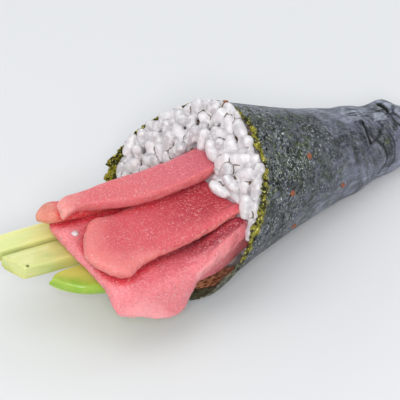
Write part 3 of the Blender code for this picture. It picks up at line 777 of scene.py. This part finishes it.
# %% Rice: helpers for node trees
class Value:
    """A number in a node tree. Its arithmetic adds math nodes."""

    def __init__(self, tree, socket):
        self.tree = tree
        self.socket = socket

    def math(self, operation, *others):
        inputs = dict(enumerate((self, *others)))
        node = tree_node(self.tree, "ShaderNodeMath", inputs, operation=operation)
        return Value(self.tree, node.outputs[0])

    def fade(self, low, high):
        """0 at low, 1 at high, eased."""
        node = tree_node(self.tree, "ShaderNodeMapRange", interpolation_type="SMOOTHSTEP",
                         inputs={"Value": self, "From Min": low, "From Max": high})
        return Value(self.tree, node.outputs[0])

    def __mul__(self, other):
        return self.math("MULTIPLY", other)

    def __add__(self, other):
        return self.math("ADD", other)

    def __sub__(self, other):
        return self.math("SUBTRACT", other)

    def __rsub__(self, other):
        return self.math("MULTIPLY_ADD", -1.0, other)


def tree_node(tree, kind, inputs=(), **settings):
    """A node with its settings, its input values and its incoming links."""
    node = tree.nodes.new(kind)
    for key, value in settings.items():
        setattr(node, key, value)
    for key, value in dict(inputs).items():
        value = getattr(value, "socket", value)
        if isinstance(value, bpy.types.NodeSocket):
            tree.links.new(value, node.inputs[key])
        else:
            node.inputs[key].default_value = value
    return node


def run_tree(points, tree, inputs, name):
    """Run a tree on an object, keep the result as a plain mesh and drop the modifier."""
    modifier = points.modifiers.new(tree.name, "NODES")
    modifier.node_group = tree
    for item in tree.interface.items_tree:
        if item.in_out == "INPUT" and item.name in inputs:
            modifier[item.identifier] = inputs[item.name]
    mesh = applied(points, keep_all=True)
    points.modifiers.clear()
    bpy.data.objects.remove(points)
    mesh.name = name
    return add_object(name, mesh)


print("a number in a tree:", [name for name in vars(Value) if not name.startswith("_")])

# %% Rice: the grains
MELT = 0.34                # size of the cells in which touching grains melt together
MELT_EASED = 1             # times that the melted surface is eased
SEAM = 0.42                # width of the shade between two grains
GRAIN_INPUTS = {"Length": GRAIN_LENGTH * MM, "Width": GRAIN_WIDTH * MM,
                "Thickness": GRAIN_THICKNESS * MM, "Bend": 0.4 * MM, "Blunt": 0.42, "Dents": 0.9 * MM}
DENTS_PER_METRE = 350.0
ON_AXIS = 0.01             # keeps the blunting finite at the poles


def grain_tree(material):
    tree = bpy.data.node_groups.new("rice grains", "GeometryNodeTree")
    sockets = tree.interface.new_socket
    sockets("Geometry", in_out="INPUT", socket_type="NodeSocketGeometry")
    for label, default in GRAIN_INPUTS.items():
        sockets(label, in_out="INPUT", socket_type="NodeSocketFloat").default_value = default
    sockets("Geometry", in_out="OUTPUT", socket_type="NodeSocketGeometry")

    def add(kind, inputs=(), **settings):
        return tree_node(tree, kind, inputs, **settings).outputs

    def vector(x=0.0, y=0.0, z=0.0):
        return add("ShaderNodeCombineXYZ", {"X": x, "Y": y, "Z": z})[0]

    given = add("NodeGroupInput")
    length, width, thickness, bend, blunt, dents = (Value(tree, given[key]) for key in GRAIN_INPUTS)
    ball = add("GeometryNodeMeshUVSphere", {"Segments": 9, "Rings": 7, "Radius": 0.5})["Mesh"]
    place = add("ShaderNodeSeparateXYZ", {0: add("GeometryNodeInputPosition")[0]})
    x, y, z = (Value(tree, place[key]) for key in "XYZ")
    from_axis = add("ShaderNodeVectorMath", {0: vector(x, y)}, operation="LENGTH")["Value"]
    swell = (Value(tree, from_axis) * 2.0 + ON_AXIS).math("POWER", blunt * -1.0)
    shape = vector(x * swell * width + z * z * (bend * 4.0), y * swell * thickness, z * length)
    grain = add("GeometryNodeSetPosition", {"Geometry": ball, "Position": shape})[0]
    turn = add("GeometryNodeInputNamedAttribute", {"Name": "turn"}, data_type="FLOAT_VECTOR")
    size = add("GeometryNodeInputNamedAttribute", {"Name": "size"}, data_type="FLOAT")
    rotation = add("FunctionNodeEulerToRotation", {0: turn["Attribute"]})[0]
    laid = add("GeometryNodeInstanceOnPoints",
               {"Points": given["Geometry"], "Instance": grain, "Rotation": rotation,
                "Scale": size["Attribute"]})[0]
    real = add("GeometryNodeRealizeInstances", {"Geometry": laid})[0]
    uneven = add("ShaderNodeTexNoise", {"Scale": DENTS_PER_METRE, "Detail": 1.0})["Color"]
    centred = add("ShaderNodeVectorMath", {0: uneven, 1: (0.5, 0.5, 0.5)}, operation="SUBTRACT")[0]
    pushed = add("ShaderNodeVectorMath", {0: centred, "Scale": dents}, operation="SCALE")[0]
    dented = add("GeometryNodeSetPosition", {"Geometry": real, "Offset": pushed})[0]
    smoothed = add("GeometryNodeSetShadeSmooth", {"Geometry": dented})[0]
    finished = add("GeometryNodeSetMaterial", {"Geometry": smoothed, "Material": material})[0]
    add("NodeGroupOutput", {0: finished})
    return tree


def whose_grain(places):
    """The grain that each place belongs to, and how near it is to the next one: 1 on the seam."""
    nearest = np.full(len(places), FAR)
    second = np.full(len(places), FAR)
    owner = np.zeros(len(places), int)
    for k, (middle, axis, size) in enumerate(zip(middles, axes, sizes)):
        half = HALF_ROD * size
        close = np.flatnonzero(np.abs(places - middle).max(axis=1) < GRAIN_LENGTH)
        away = places[close] - middle
        share = np.clip(away @ axis, -half, half)
        distance = np.linalg.norm(away - share[:, None] * axis, axis=1) - GRAIN_WIDTH / 2 * size
        first = distance < nearest[close]
        second[close] = np.where(first, nearest[close], np.minimum(second[close], distance))
        nearest[close] = np.where(first, distance, nearest[close])
        owner[close[first]] = k
    return owner, bump(second - nearest, 0, SEAM)


def melt(grains, finish):
    """Sticky rice: the grains melted together where they touch, which drops their finish. Each
    point keeps its grain's own shade, how near it is to a seam and how deep it lies."""
    remesh = grains.modifiers.new("melt", "REMESH")
    remesh.mode = "VOXEL"
    remesh.voxel_size = MELT * MM
    remesh.use_smooth_shade = True
    ease = grains.modifiers.new("ease", "SMOOTH")
    ease.iterations = MELT_EASED
    grains.data = applied(grains)
    grains.modifiers.clear()
    grains.data.name = grains.name
    grains.data.materials.clear()
    grains.data.materials.append(finish)
    out, near, up = local(points_of(grains)[0])
    owner, seam = whose_grain(np.stack((out, near, up), axis=-1))
    tone = np.random.default_rng(GRAIN_SEED).random(len(middles))
    give(grains, "shade", tone[owner])
    give(grains, "seam", seam)
    give(grains, "deep", rice_front(near, up) - out)


def grain_points():
    """One point for each grain, with its turn and size."""
    mesh = bpy.data.meshes.new("grain points")
    mesh.from_pydata(world(*middles.T).tolist(), [], [])
    turns = []
    for axis in axes:
        along = Vector(axis[0] * OUT + axis[1] * NEAR + axis[2] * UP)
        turns.append(along.to_track_quat("Z", "X").to_euler()[:])
    mesh.attributes.new("turn", "FLOAT_VECTOR", "POINT").data.foreach_set("vector", np.ravel(turns))
    mesh.attributes.new("size", "FLOAT", "POINT").data.foreach_set("value", sizes)
    return add_object("grain points", mesh)


print("a grain's inputs:", GRAIN_INPUTS)

# %% [markdown]
# ## Crumbs and specks
# Food that was made by hand carries crumbs: a few orange specks of roe stick to the seaweed, one
# crumb of rice lies on the fish and an olive fleck of peel on a baton. Each is a ball of some
# hundred faces, pressed flat on its surface and dented by noise.

# %% Crumbs and specks
ROE_PLACES = ((30.7, 134), (20.4, 158), (45.6, 176), (24.4, 193), (11.7, 75))  # along, degrees
ROE_SIZE = 1.9
CRUMB_PLACE = (38.6, -0.7, -5.4)      # out, near and up
CRUMB_SIZE = 2.2
PEEL_PLACE = (55.2, 2.2, -10.0)
PEEL_SIZE = 1.0
CRUMB_FLAT = 0.6           # height as a share of width
CRUMB_DENTS = 0.35


def crumbs(name, places, size):
    """One piece of small dented balls, squashed towards the surface below each."""
    ball = bmesh.new()
    bmesh.ops.create_icosphere(ball, subdivisions=2, radius=1.0)
    round_points = np.array([v.co[:] for v in ball.verts])
    round_faces = np.array([[v.index for v in face.verts] for face in ball.faces])
    ball.free()
    points = []
    faces = []
    for k, (place, normal) in enumerate(places):
        swell = 1 + CRUMB_DENTS * lumps(round_points, 0.8, 30 + k, 2)
        lump = round_points * swell[:, None] * size / 2
        lump -= np.outer(lump @ normal, normal) * (1 - CRUMB_FLAT)
        faces.append(round_faces + len(round_points) * k)
        points.append(place + lump * MM)
    return make_piece(name, np.concatenate(points), np.concatenate(faces))


def on_wall(along, degrees):
    """A place on the seaweed and the direction outwards from it."""
    angle = np.array([math.radians(degrees)])
    radius = smooth_radius(np.array([along]), angle)
    place = ring_points(np.array([along]), angle, radius)[0]
    middle = ring_points(np.array([along]), angle, radius - 1)[0]
    return place, (place - middle) / MM


roe = crumbs("roe_specks", [on_wall(*place) for place in ROE_PLACES], ROE_SIZE)
crumb = crumbs("rice_crumb", [(world(*CRUMB_PLACE), UP)], CRUMB_SIZE)
peel = crumbs("peel_fleck", [(world(*PEEL_PLACE), UP)], PEEL_SIZE)
print("specks:", triangles(roe) + triangles(crumb) + triangles(peel), "triangles")

# %% [markdown]
# ## Finishes
# Every finish is a Principled material whose patterns read the object's own coordinates, scaled
# so that a pattern's size is given in millimetres, and the numbers stored on the mesh. Colours
# are given as on a screen, from 0 to 255. A finish is built up as a painter would: a ground
# colour, then coats over it, each with a share that says where and how much it covers.

# %% A finish
def srgb(red, green, blue):
    """A screen colour, 0 to 255, as linear light."""
    parts = [v / 255 for v in (red, green, blue)]
    return (*[p / 12.92 if p < 0.04045 else ((p + 0.055) / 1.055) ** 2.4 for p in parts], 1)


class Finish:
    """A material with short ways to add patterns to it."""

    def __init__(self, name, **sockets):
        self.material = bpy.data.materials.new(name)
        self.material.use_nodes = True
        self.tree = self.material.node_tree
        self.shader = self.tree.nodes["Principled BSDF"]
        for key, value in sockets.items():
            self.shader.inputs[key.replace("_", " ")].default_value = value
        self.place = self.mapped(self.node("ShaderNodeTexCoord")["Object"], Scale=(1 / MM,) * 3)

    def node(self, kind, inputs=(), **settings):
        return tree_node(self.tree, kind, inputs, **settings).outputs

    def mapped(self, place, **change):
        return self.node("ShaderNodeMapping", {"Vector": place, **change})[0]

    def along_cone(self, stretch):
        """Coordinates turned to the cone's axis, with patterns drawn out along it."""
        return self.mapped(self.mapped(self.place, Rotation=(0, -TILT, 0)),
                           Scale=(1 / stretch, 1, 1))

    def round_cone(self, stretch, lean):
        """Coordinates with patterns drawn out round the cone, in rings that lean back."""
        return self.mapped(self.mapped(self.place, Rotation=(0, lean - TILT, 0)),
                           Scale=(1, 1 / stretch, 1 / stretch))

    def noise(self, size, detail=3.0, place=None, distortion=0.0, roughness=0.5):
        inputs = {"Vector": place or self.place, "Scale": 1 / size, "Detail": detail,
                  "Roughness": roughness, "Distortion": distortion}
        return Value(self.tree, self.node("ShaderNodeTexNoise", inputs)["Fac"])

    def rough_noise(self, size, detail=5):
        return self.noise(size, detail, roughness=0.7)

    def veins(self, size, width, place):
        """Thin winding lines, where a noise passes through its middle value."""
        return (self.noise(size, 4, place, 1.0) - 0.5).math("ABSOLUTE").fade(width, width / 4)

    def attribute(self, name):
        return Value(self.tree, self.node("ShaderNodeAttribute", attribute_name=name)["Fac"])

    def mix(self, share, first, second):
        """From the first colour to the second. Its node has them on inputs 6 and 7."""
        first, second = (srgb(*c) if isinstance(c, tuple) else c for c in (first, second))
        return self.node("ShaderNodeMix", {0: share, 6: first, 7: second}, data_type="RGBA")[2]

    def coats(self, colour, *coats):
        """Lay coats over a colour, each given as its share and its own colour."""
        for share, coat in coats:
            colour = self.mix(share, colour, coat)
        return colour

    def wear(self, colour, roughness=None, relief=None, depth=0.0, strength=1.0):
        """Join the finished colour and roughness to the shader, and a relief whose 0 to 1 is
        this many millimetres deep."""
        inputs = {"Base Color": colour}
        if roughness is not None:
            inputs["Roughness"] = roughness
        if relief is not None:
            inputs["Normal"] = self.node("ShaderNodeBump", {"Height": relief, "Strength": strength,
                                                            "Distance": depth * MM})[0]
        for key, value in inputs.items():
            self.tree.links.new(getattr(value, "socket", value), self.shader.inputs[key])
        return self.material


print("a mid grey in linear light:", round(srgb(128, 128, 128)[0], 3))

# %% [markdown]
# ## Seaweed
# Dried seaweed is a pressed mat: nearly black green with a lilac-grey bloom, partly its own tone and
# partly painted sheen, drawn out in streaks along the roll. Painted sheen lies in bands where the
# sheet bends on the shoulder and the flank, a painted highlight runs along the crest of the tail,
# and the fold lines are darkened with painted shade. Near the mouth the rice's steam has brought
# its green back in specks, and it is full of pinholes. Bright painted glints sparkle on it, most of
# them near the mouth. The bare inner layer at the lip is moist and olive, and low down rust brown
# with an ashen edge.
# The `turn` number is the angle round the cone in radians: 0 at the far side, 1.6 on top and 3.1
# at the near side.

# %% Seaweed
# bands round the cone: painted sheen on the shoulder and the flank, a painted highlight on the crest,
# and the low band of the lip
SHEEN_SHOULDER = ((0.5, 0.9), (1.7, 1.2))    # where a band round the cone fades in and out again
HIGHLIGHT_CREST = ((1.1, 1.5), (2.0, 1.65))
SHEEN_FLANK = ((2.6, 3.3), (4.6, 4.0))
LOW = ((3.22, 3.45), (4.9, 4.4))
RING_LEAN = 0.45


def seaweed_ground(f, tail, band, mottle, veins):
    """The mat's grey, its bloom in bands, partly painted sheen, its veins, a painted highlight on the
    crest and painted sheen on its streaks.
    """
    # the lilac-grey bloom: partly the mat's own tone, partly painted sheen
    bloom_and_sheen = f.noise(8, 5, f.round_cone(2.5, RING_LEAN), 1.5, 0.6).fade(0.40, 0.60)
    strands = f.noise(1.3, 5, f.along_cone(7), 0.8, 0.6)
    # painted sheen in bands on the flank and the shoulder
    flank_sheen = band(*SHEEN_FLANK) * f.attribute("from_rim").fade(12, 34)
    painted_sheen = flank_sheen * 0.7 + band(*SHEEN_SHOULDER)
    return f.coats(
        f.mix(mottle.fade(0.40, 0.60), (34, 38, 40), (90, 95, 98)),
        (tail * 0.5 + 0.36, f.mix(bloom_and_sheen, (40, 41, 52), (124, 124, 146))),
        (veins, (150, 152, 164)),
        # painted highlight along the crest of the tail
        (band(*HIGHLIGHT_CREST) * tail * strands.fade(0.42, 0.58), (168, 172, 188)),
        (strands.fade(0.52, 0.66) * 0.35, (144, 146, 156)),
        (painted_sheen * (strands.fade(0.40, 0.56) * 0.5 + 0.25), (158, 162, 180)))


def green_and_grain(f, colour, near_mouth, tail, speckle, pits):
    """Green patches and flecks, dark clouds, pale and dark specks, pinholes and bright painted
    glints.
    """
    patch = f.noise(10, 2, distortion=0.6).fade(0.42, 0.58)
    mossy = (patch * 0.6 + near_mouth * 0.35) * (tail * -0.5 + 1.0) + f.attribute("mossy") * 0.6
    plain = f.noise(7, 2, distortion=0.5).fade(0.60, 0.46)
    grainy = (near_mouth * 0.65 + 0.2) * (plain * 0.7 + 0.3)
    return f.coats(
        colour,
        (f.rough_noise(1.8).fade(0.46, 0.56) * mossy, (48, 58, 34)),
        (f.rough_noise(1.2).fade(0.54, 0.62) * mossy * 0.8, (126, 134, 104)),
        (f.noise(9, 4, distortion=1.0).fade(0.48, 0.62) * 0.45, (26, 30, 34)),
        (speckle.fade(0.52, 0.62) * grainy, (146, 152, 154)),
        (speckle.fade(0.48, 0.39) * grainy, (14, 17, 16)),
        (pits, (6, 8, 6)),
        # painted glints: bright sparks, most near the mouth
        (f.rough_noise(0.8, 2).fade(0.62, 0.68) * grainy, (224, 230, 232)))


def moist_lip(f, low):
    """The inner layer: olive with dark and yellow specks, and low down rust, a dark line and an
    ashen strip along the edge."""
    olive = f.coats(
        f.mix(f.noise(2.6, 4).fade(0.42, 0.58), (50, 58, 26), (146, 138, 40)),
        (f.rough_noise(1.3).fade(0.53, 0.43), (40, 32, 10)),
        (f.noise(0.7, 3).fade(0.58, 0.66), (210, 204, 120)))
    strip = f.noise(2.5, 3) * 2.0 + f.attribute("from_rim")
    ashen = f.mix(f.rough_noise(1.0).fade(0.42, 0.60), (48, 42, 30), (124, 124, 102))
    rust = f.coats(
        f.mix(f.noise(1.3, 4).fade(0.38, 0.60), (140, 66, 40), (255, 172, 134)),
        (strip.fade(4.6, 3.8), (54, 20, 12)),
        (strip.fade(3.8, 3.4), ashen))
    return f.mix(low, olive, rust)


def seaweed_finish():
    f = Finish("seaweed", Specular_IOR_Level=0.2)
    turn = f.attribute("turn")
    from_mouth = f.attribute("from_rim")

    def band(fade_in, fade_out):
        return turn.fade(*fade_in) * turn.fade(*fade_out)

    near_mouth = from_mouth.fade(50, 8)
    tail = from_mouth.fade(30, 66)
    upper = turn.fade(3.0, 2.3)
    speckle = f.rough_noise(0.9, 4)
    mottle = f.noise(3.2, 6, roughness=0.72)
    veins = (f.veins(4.5, 0.04, f.round_cone(3, RING_LEAN)) * upper
             + f.veins(3.5, 0.04, f.along_cone(4)) * (1.0 - upper)) * (tail * 0.4 + 0.1)
    pits = f.noise(1.3, 3, roughness=0.6).fade(0.42, 0.38) * near_mouth
    dry = green_and_grain(f, seaweed_ground(f, tail, band, mottle, veins),
                          near_mouth, tail, speckle, pits)
    moist = moist_lip(f, band(*LOW))
    bare = f.attribute("bare").fade(0.3, 0.8)
    soaked = (f.noise(2.2, 4) * 9.0 + from_mouth).fade(6.0, 4.2)
    # the moist lip where soaked or bare, then the fold lines darkened with painted shade
    colour = f.coats(dry, (soaked * 0.85, moist), (bare, moist),
                     (f.attribute("folded").fade(0.1, 0.9), (14, 17, 14)))
    relief = speckle * 0.5 + mottle * 0.7 + veins * 0.5 - pits * 0.5
    return f.wear(colour, speckle * 0.4 + 0.28 - bare * 0.16, relief, 0.3)


nori.data.materials.append(seaweed_finish())
print("seaweed nodes:", len(nori.active_material.node_tree.nodes))

# %% [markdown]
# ## Tuna
# Raw tuna is translucent: light enters it and comes out red, so thin edges look pale and deep
# folds glow crimson. The finish paints this into the colour: pale thin edges as painted glow,
# pale faces that look to the near side as painted light, deeper red towards the mouth and crimson
# under the slices above as painted shade, and a painted glow in the deepest creases. Its cut face
# is moist and glitters with tiny pale points, which are painted highlights. The finish mixes by
# the stored edge and crease numbers and lets some light scatter under the surface. The slices
# differ in how deep their red is, in how wide their pale edges are and in where the deep red ends.

# %% Tuna
NOWHERE = -999.0           # millimetres out, where there is no flesh
# colours of painted light and shade: a glow in the deepest creases, glints, and the shade under
# another slice
PAINTED_GLOW = (255, 84, 98)
PAINTED_GLINT = (252, 208, 206)
SHADE_UNDER_ANOTHER = (214, 46, 58)
# end_edge and near_edge: widths of the pale edge, painted glow of thin flesh, at the outer end and
# along the near side. end_pale: how pale the outer end is, as painted glow. ridge: deep red on the
# far side of this place, painted shade, and pale along the edge on its near side. side_pale: how
# much the steep near side pales, as painted light. under: from this far out inwards another slice
# keeps the light off, and it is painted red as shade.
TUNA = {
    "tuna_lower": dict(flesh_colour=(222, 104, 114), deep=(150, 40, 56), pale=(250, 164, 166),
                       end_edge=14.0, near_edge=1.6, end_pale=0.5, ridge=27.0, side_pale=0.3),
    "tuna_middle": dict(flesh_colour=(212, 88, 98), deep=(176, 46, 60), pale=(232, 134, 130),
                        end_edge=10.0, near_edge=1.0, end_pale=1.0, ridge=18.0, side_pale=0.1),
    "tuna_top": dict(flesh_colour=(214, 102, 108), deep=(204, 96, 110), pale=(242, 158, 150),
                     end_edge=7.0, near_edge=1.8, end_pale=1.0, ridge=40.0, side_pale=0.1),
    "tuna_back": dict(flesh_colour=(220, 136, 118), deep=(200, 94, 88), pale=(232, 156, 134),
                      end_edge=4.0, near_edge=1.5, end_pale=1.0, ridge=40.0, side_pale=0.2,
                      under=43.5),
}


def tuna_finish(name, flesh_colour, deep, pale, end_edge, near_edge, end_pale, ridge, side_pale,
                under=NOWHERE):
    f = Finish(name, Subsurface_Weight=0.35, Subsurface_Radius=(1.0, 0.22, 0.16),
               Subsurface_Scale=0.004, Coat_Weight=0.1, Coat_Roughness=0.3,
               Specular_IOR_Level=0.35)
    outwards = f.attribute("outwards")
    near = f.attribute("near")
    grains = f.rough_noise(0.7, 3)
    coarse = f.noise(1.6, 4)
    clusters = f.noise(7, 2, distortion=0.8).fade(0.38, 0.58)
    cloudy = f.noise(8, 3, distortion=0.5).fade(0.35, 0.65)
    side = f.attribute("side").fade(0.35, 0.8)
    # painted shade: deeper red towards the mouth and on the far side of the ridge, not on faces that
    # look to the near side
    inner = outwards.fade(25, 2) * near.fade(ridge, ridge - 5) * (1.0 - side)
    # painted glow: pale where the flesh is thin at its edge and outer end
    reach = outwards.fade(18, 32) * (end_edge - near_edge) + near_edge
    uneven = f.attribute("from_edge") + (coarse * -3.0 + 1.5)
    edged = near.fade(ridge - 5, ridge).math("MAXIMUM", outwards.fade(26, 36) * end_pale)
    edge = uneven.math("DIVIDE", reach).fade(1.0, 0.0) * edged
    shaded = f.attribute("crease") + (coarse * 0.3 - 0.15)
    glint = f.noise(0.55, 2, roughness=0.8).fade(0.59, 0.66) * (clusters * 0.75 + 0.2)
    colour = f.coats(
        # flesh with random clouds, deepened by the painted shade of inner
        f.mix(cloudy * 0.18 + inner * 0.85, flesh_colour, deep),
        # painted glow on the thin edges and painted light on faces that look to the near side
        (edge.math("MAXIMUM", side * side_pale), pale),
        # painted shade: red where another slice lies over this one
        (outwards.fade(under, under - 4) * 0.9, SHADE_UNDER_ANOTHER),
        # painted shade in the creases under the slices above, and a painted glow in the deepest of
        # them
        (shaded.fade(0.40, 0.85) * 0.95, f.mix(inner, (214, 46, 62), (172, 44, 60))),
        (shaded.fade(0.92, 1.1), PAINTED_GLOW),
        (grains.fade(0.50, 0.66) * 0.5, pale),
        (grains.fade(0.47, 0.34) * 0.25, deep),
        # painted highlights: tiny pale glints
        (glint * 0.8, PAINTED_GLINT))
    return f.wear(colour, grains * 0.25 + 0.25 - glint * 0.15, grains * 0.9 + glint * 0.5, 0.28)


for name, piece in flesh.items():
    piece.data.materials.append(tuna_finish(name, **TUNA[name]))
print("tuna finishes:", sorted(TUNA))

# %% [markdown]
# ## Green batons and avocado
# The batons are cream yellow above and greener low down, warmer towards the fish and with faint
# lengthwise lines. The avocado is yellow at its heart, turns vivid green towards its outer edge
# and ends in a pale rim below, a painted highlight along its glossy lower edge.

# %% Green batons and avocado
BATONS = {    # colour above, colour low down and the heights between which they change
    "baton_upper": ((216, 222, 150), (204, 204, 108), (-13, -10.5)),
    "baton_lower": ((194, 206, 134), (180, 180, 74), (-15.2, -12.0)),
}
CREAM = (238, 230, 156)
WARM = (222, 196, 100)
MOIST_GREEN = dict(Subsurface_Weight=0.15, Subsurface_Scale=0.002, Coat_Roughness=0.2, IOR=1.38)


def baton_finish(name, high_colour, low_colour, heights):
    f = Finish(name, Subsurface_Radius=(0.8, 1.0, 0.4), Coat_Weight=0.2, **MOIST_GREEN)
    lines = f.noise(0.9, 3, f.along_cone(12))
    soft = f.noise(5, 2, f.along_cone(3))
    by_fish = f.noise(6, 3) * 14.0 + f.attribute("outwards")
    colour = f.coats(
        f.mix(f.attribute("up").fade(*heights), low_colour, high_colour),
        (soft.fade(0.4, 0.6) * 0.4, CREAM),
        (by_fish.fade(58, 44) * 0.5, WARM),
        (lines.fade(0.5, 0.75) * 0.25, low_colour))
    return f.wear(colour, lines * 0.2 + 0.3, f.noise(1.2, 3, f.along_cone(4)), 0.12, 0.6)


def avocado_finish():
    f = Finish("avocado", Subsurface_Radius=(0.8, 1.0, 0.3), Coat_Weight=0.25, **MOIST_GREEN)
    up = f.attribute("up")
    outer = f.attribute("outwards") * 0.65 + f.attribute("near") + f.noise(4, 3) * 3.0
    green = outer.fade(37.0, 43.0).math("MAXIMUM", up.fade(-12.8, -14.0))
    colour = f.coats(
        f.mix(green, (208, 202, 100), (142, 180, 56)),
        # painted highlight: the pale rim along the glossy lower edge
        (up.fade(-14.7, -15.4), (196, 210, 134)),
        (f.noise(3, 2).fade(0.4, 0.7) * 0.25, (200, 200, 100)))
    return f.wear(colour, f.noise(0.8) * 0.2 + 0.25, f.noise(1.0, 3), 0.12, 0.6)


for name, colours in BATONS.items():
    greens[name].data.materials.append(baton_finish(name, *colours))
greens["avocado_slice"].data.materials.append(avocado_finish())
print("green finishes:", sorted(greens))

# %% [markdown]
# ## Rice and crumbs
# Cooked rice is white and slightly see-through, with a moist shine. Each grain has its own tone.
# The seam between two grains is greyer, the surface darkens where it lies deep in the gaps, and
# some deep gaps and seams turn brown: all of it painted shade. So the core, which shows only in
# the gaps, is painted grey and brown as well.

# %% Rice and crumbs
def grain_finish():
    f = Finish("rice grains", Subsurface_Weight=0.3, Subsurface_Radius=(1.0, 0.95, 0.95),
               Subsurface_Scale=0.0007, Coat_Weight=0.2, Coat_Roughness=0.25, IOR=1.4)
    # painted shade: darker where the surface lies deep below the rice's face, greyer on the seams,
    # brown in some gaps
    crevice_shade = (f.attribute("deep") + f.noise(1.5, 2)).fade(1.6, 2.9)
    seam = f.attribute("seam")
    gap = crevice_shade.math("MAXIMUM", seam.fade(0.4, 0.9))
    colour = f.coats(
        f.mix(f.attribute("shade"), (188, 182, 184), (220, 215, 216)),
        (f.noise(1.6, 2).fade(0.45, 0.6) * 0.6, (238, 235, 235)),
        # painted shade in the deep places, on the seams and, brown, in some gaps
        (crevice_shade * 0.5, (150, 136, 134)),
        (seam * 0.32, (150, 141, 145)),
        (gap * f.noise(3.2, 3).fade(0.54, 0.61), (88, 64, 38)))
    return f.wear(colour, f.noise(0.9) * 0.25 + 0.25, f.noise(0.8, 3), 0.10, 0.5)


def core_finish():
    f = Finish("rice core", Roughness=0.5)
    # painted shade: the core shows only in the gaps, so it is grey and brown
    colour = f.mix(f.noise(2.4, 3).fade(0.36, 0.48), (104, 78, 52), (160, 150, 154))
    return f.wear(colour, None, f.noise(1.5, 3), 0.6)


def roe_finish():
    f = Finish("roe", Coat_Weight=0.2, Coat_Roughness=0.3)
    return f.wear(f.mix(f.noise(0.5, 2), (74, 36, 20), (172, 94, 46)), f.noise(0.4, 2))


def peel_finish():
    f = Finish("peel")
    return f.wear(f.mix(f.noise(0.4, 2), (92, 92, 40), (150, 154, 84)), f.noise(0.3, 2))


core.data.materials.append(core_finish())
rice_white = grain_finish()
grains = run_tree(grain_points(), grain_tree(rice_white), GRAIN_INPUTS, "rice_grains")
melt(grains, rice_white)
roe.data.materials.append(roe_finish())
give(crumb, "shade", np.ones(len(crumb.data.vertices)))
crumb.data.materials.append(rice_white)
peel.data.materials.append(peel_finish())
print("rice grains:", triangles(grains), "triangles")

# %% [markdown]
# ## Floor and light
# The roll lies on a plain pale table. The key light is large and soft and stands high on the left
# of the camera. A small lamp close to the camera's own direction lights into the creases between
# the slices, one on the right opens the shade side, and one behind draws the bright line along
# the top of the cone. A pale sky fills the rest.

# %% Floor and light
FLOOR_HALF = 1.5           # metres
FLOOR_GREY = (0.72, 0.72, 0.72, 1)
LAMPS = (    # name, place and width in metres, and power in watts
    ("key", (-0.36, 0.02, 0.84), 0.8, 2.1),
    ("front", (-0.41, -0.58, 0.66), 0.3, 4.2),
    ("side", (0.60, -0.10, 0.55), 0.5, 0.8),
    ("back", (0.45, 0.90, 0.40), 0.4, 1.6),
)
SKY = (0.9, 0.95, 1.0, 1)
SKY_STRENGTH = 0.6

corners = [(x * FLOOR_HALF, y * FLOOR_HALF, 0) for x, y in ((-1, -1), (1, -1), (1, 1), (-1, 1))]
floor = make_piece("floor", corners, [(0, 1, 2, 3)])
table = Finish("pale table", Roughness=0.8, Base_Color=FLOOR_GREY)
floor.data.materials.append(table.material)

for name, place, width, power in LAMPS:
    light = bpy.data.lights.new(name, "AREA")
    light.shape = "DISK"
    light.size = width
    light.energy = power
    lamp = add_object(name, light)
    lamp.location = place
    lamp.rotation_euler = (LOOKS_AT - Vector(place)).to_track_quat("-Z", "Y").to_euler()
sky = bpy.data.worlds.new("studio")
sky.use_nodes = True
background = sky.node_tree.nodes["Background"].inputs
background["Color"].default_value = SKY
background["Strength"].default_value = SKY_STRENGTH
bpy.context.scene.world = sky
print(len(LAMPS), "lamps,", sum(power for *_, power in LAMPS), "watts in all")

# %% [markdown]
# ## Handing over
# Each piece rides on the roll's one body and stands for its solid, which is hidden.

# %% Handing over
stands_for = {nori: "nori", core: "rice", grains: "rice",
              roe: "nori", crumb: "tuna_lower", peel: "baton_lower"}
stands_for.update({piece: name for name, piece in (*flesh.items(), *greens.items())})
for piece, node in stands_for.items():
    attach(piece, "root")
    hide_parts(node)
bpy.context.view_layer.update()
print("triangles in all:", sum(triangles(piece) for piece in stands_for))
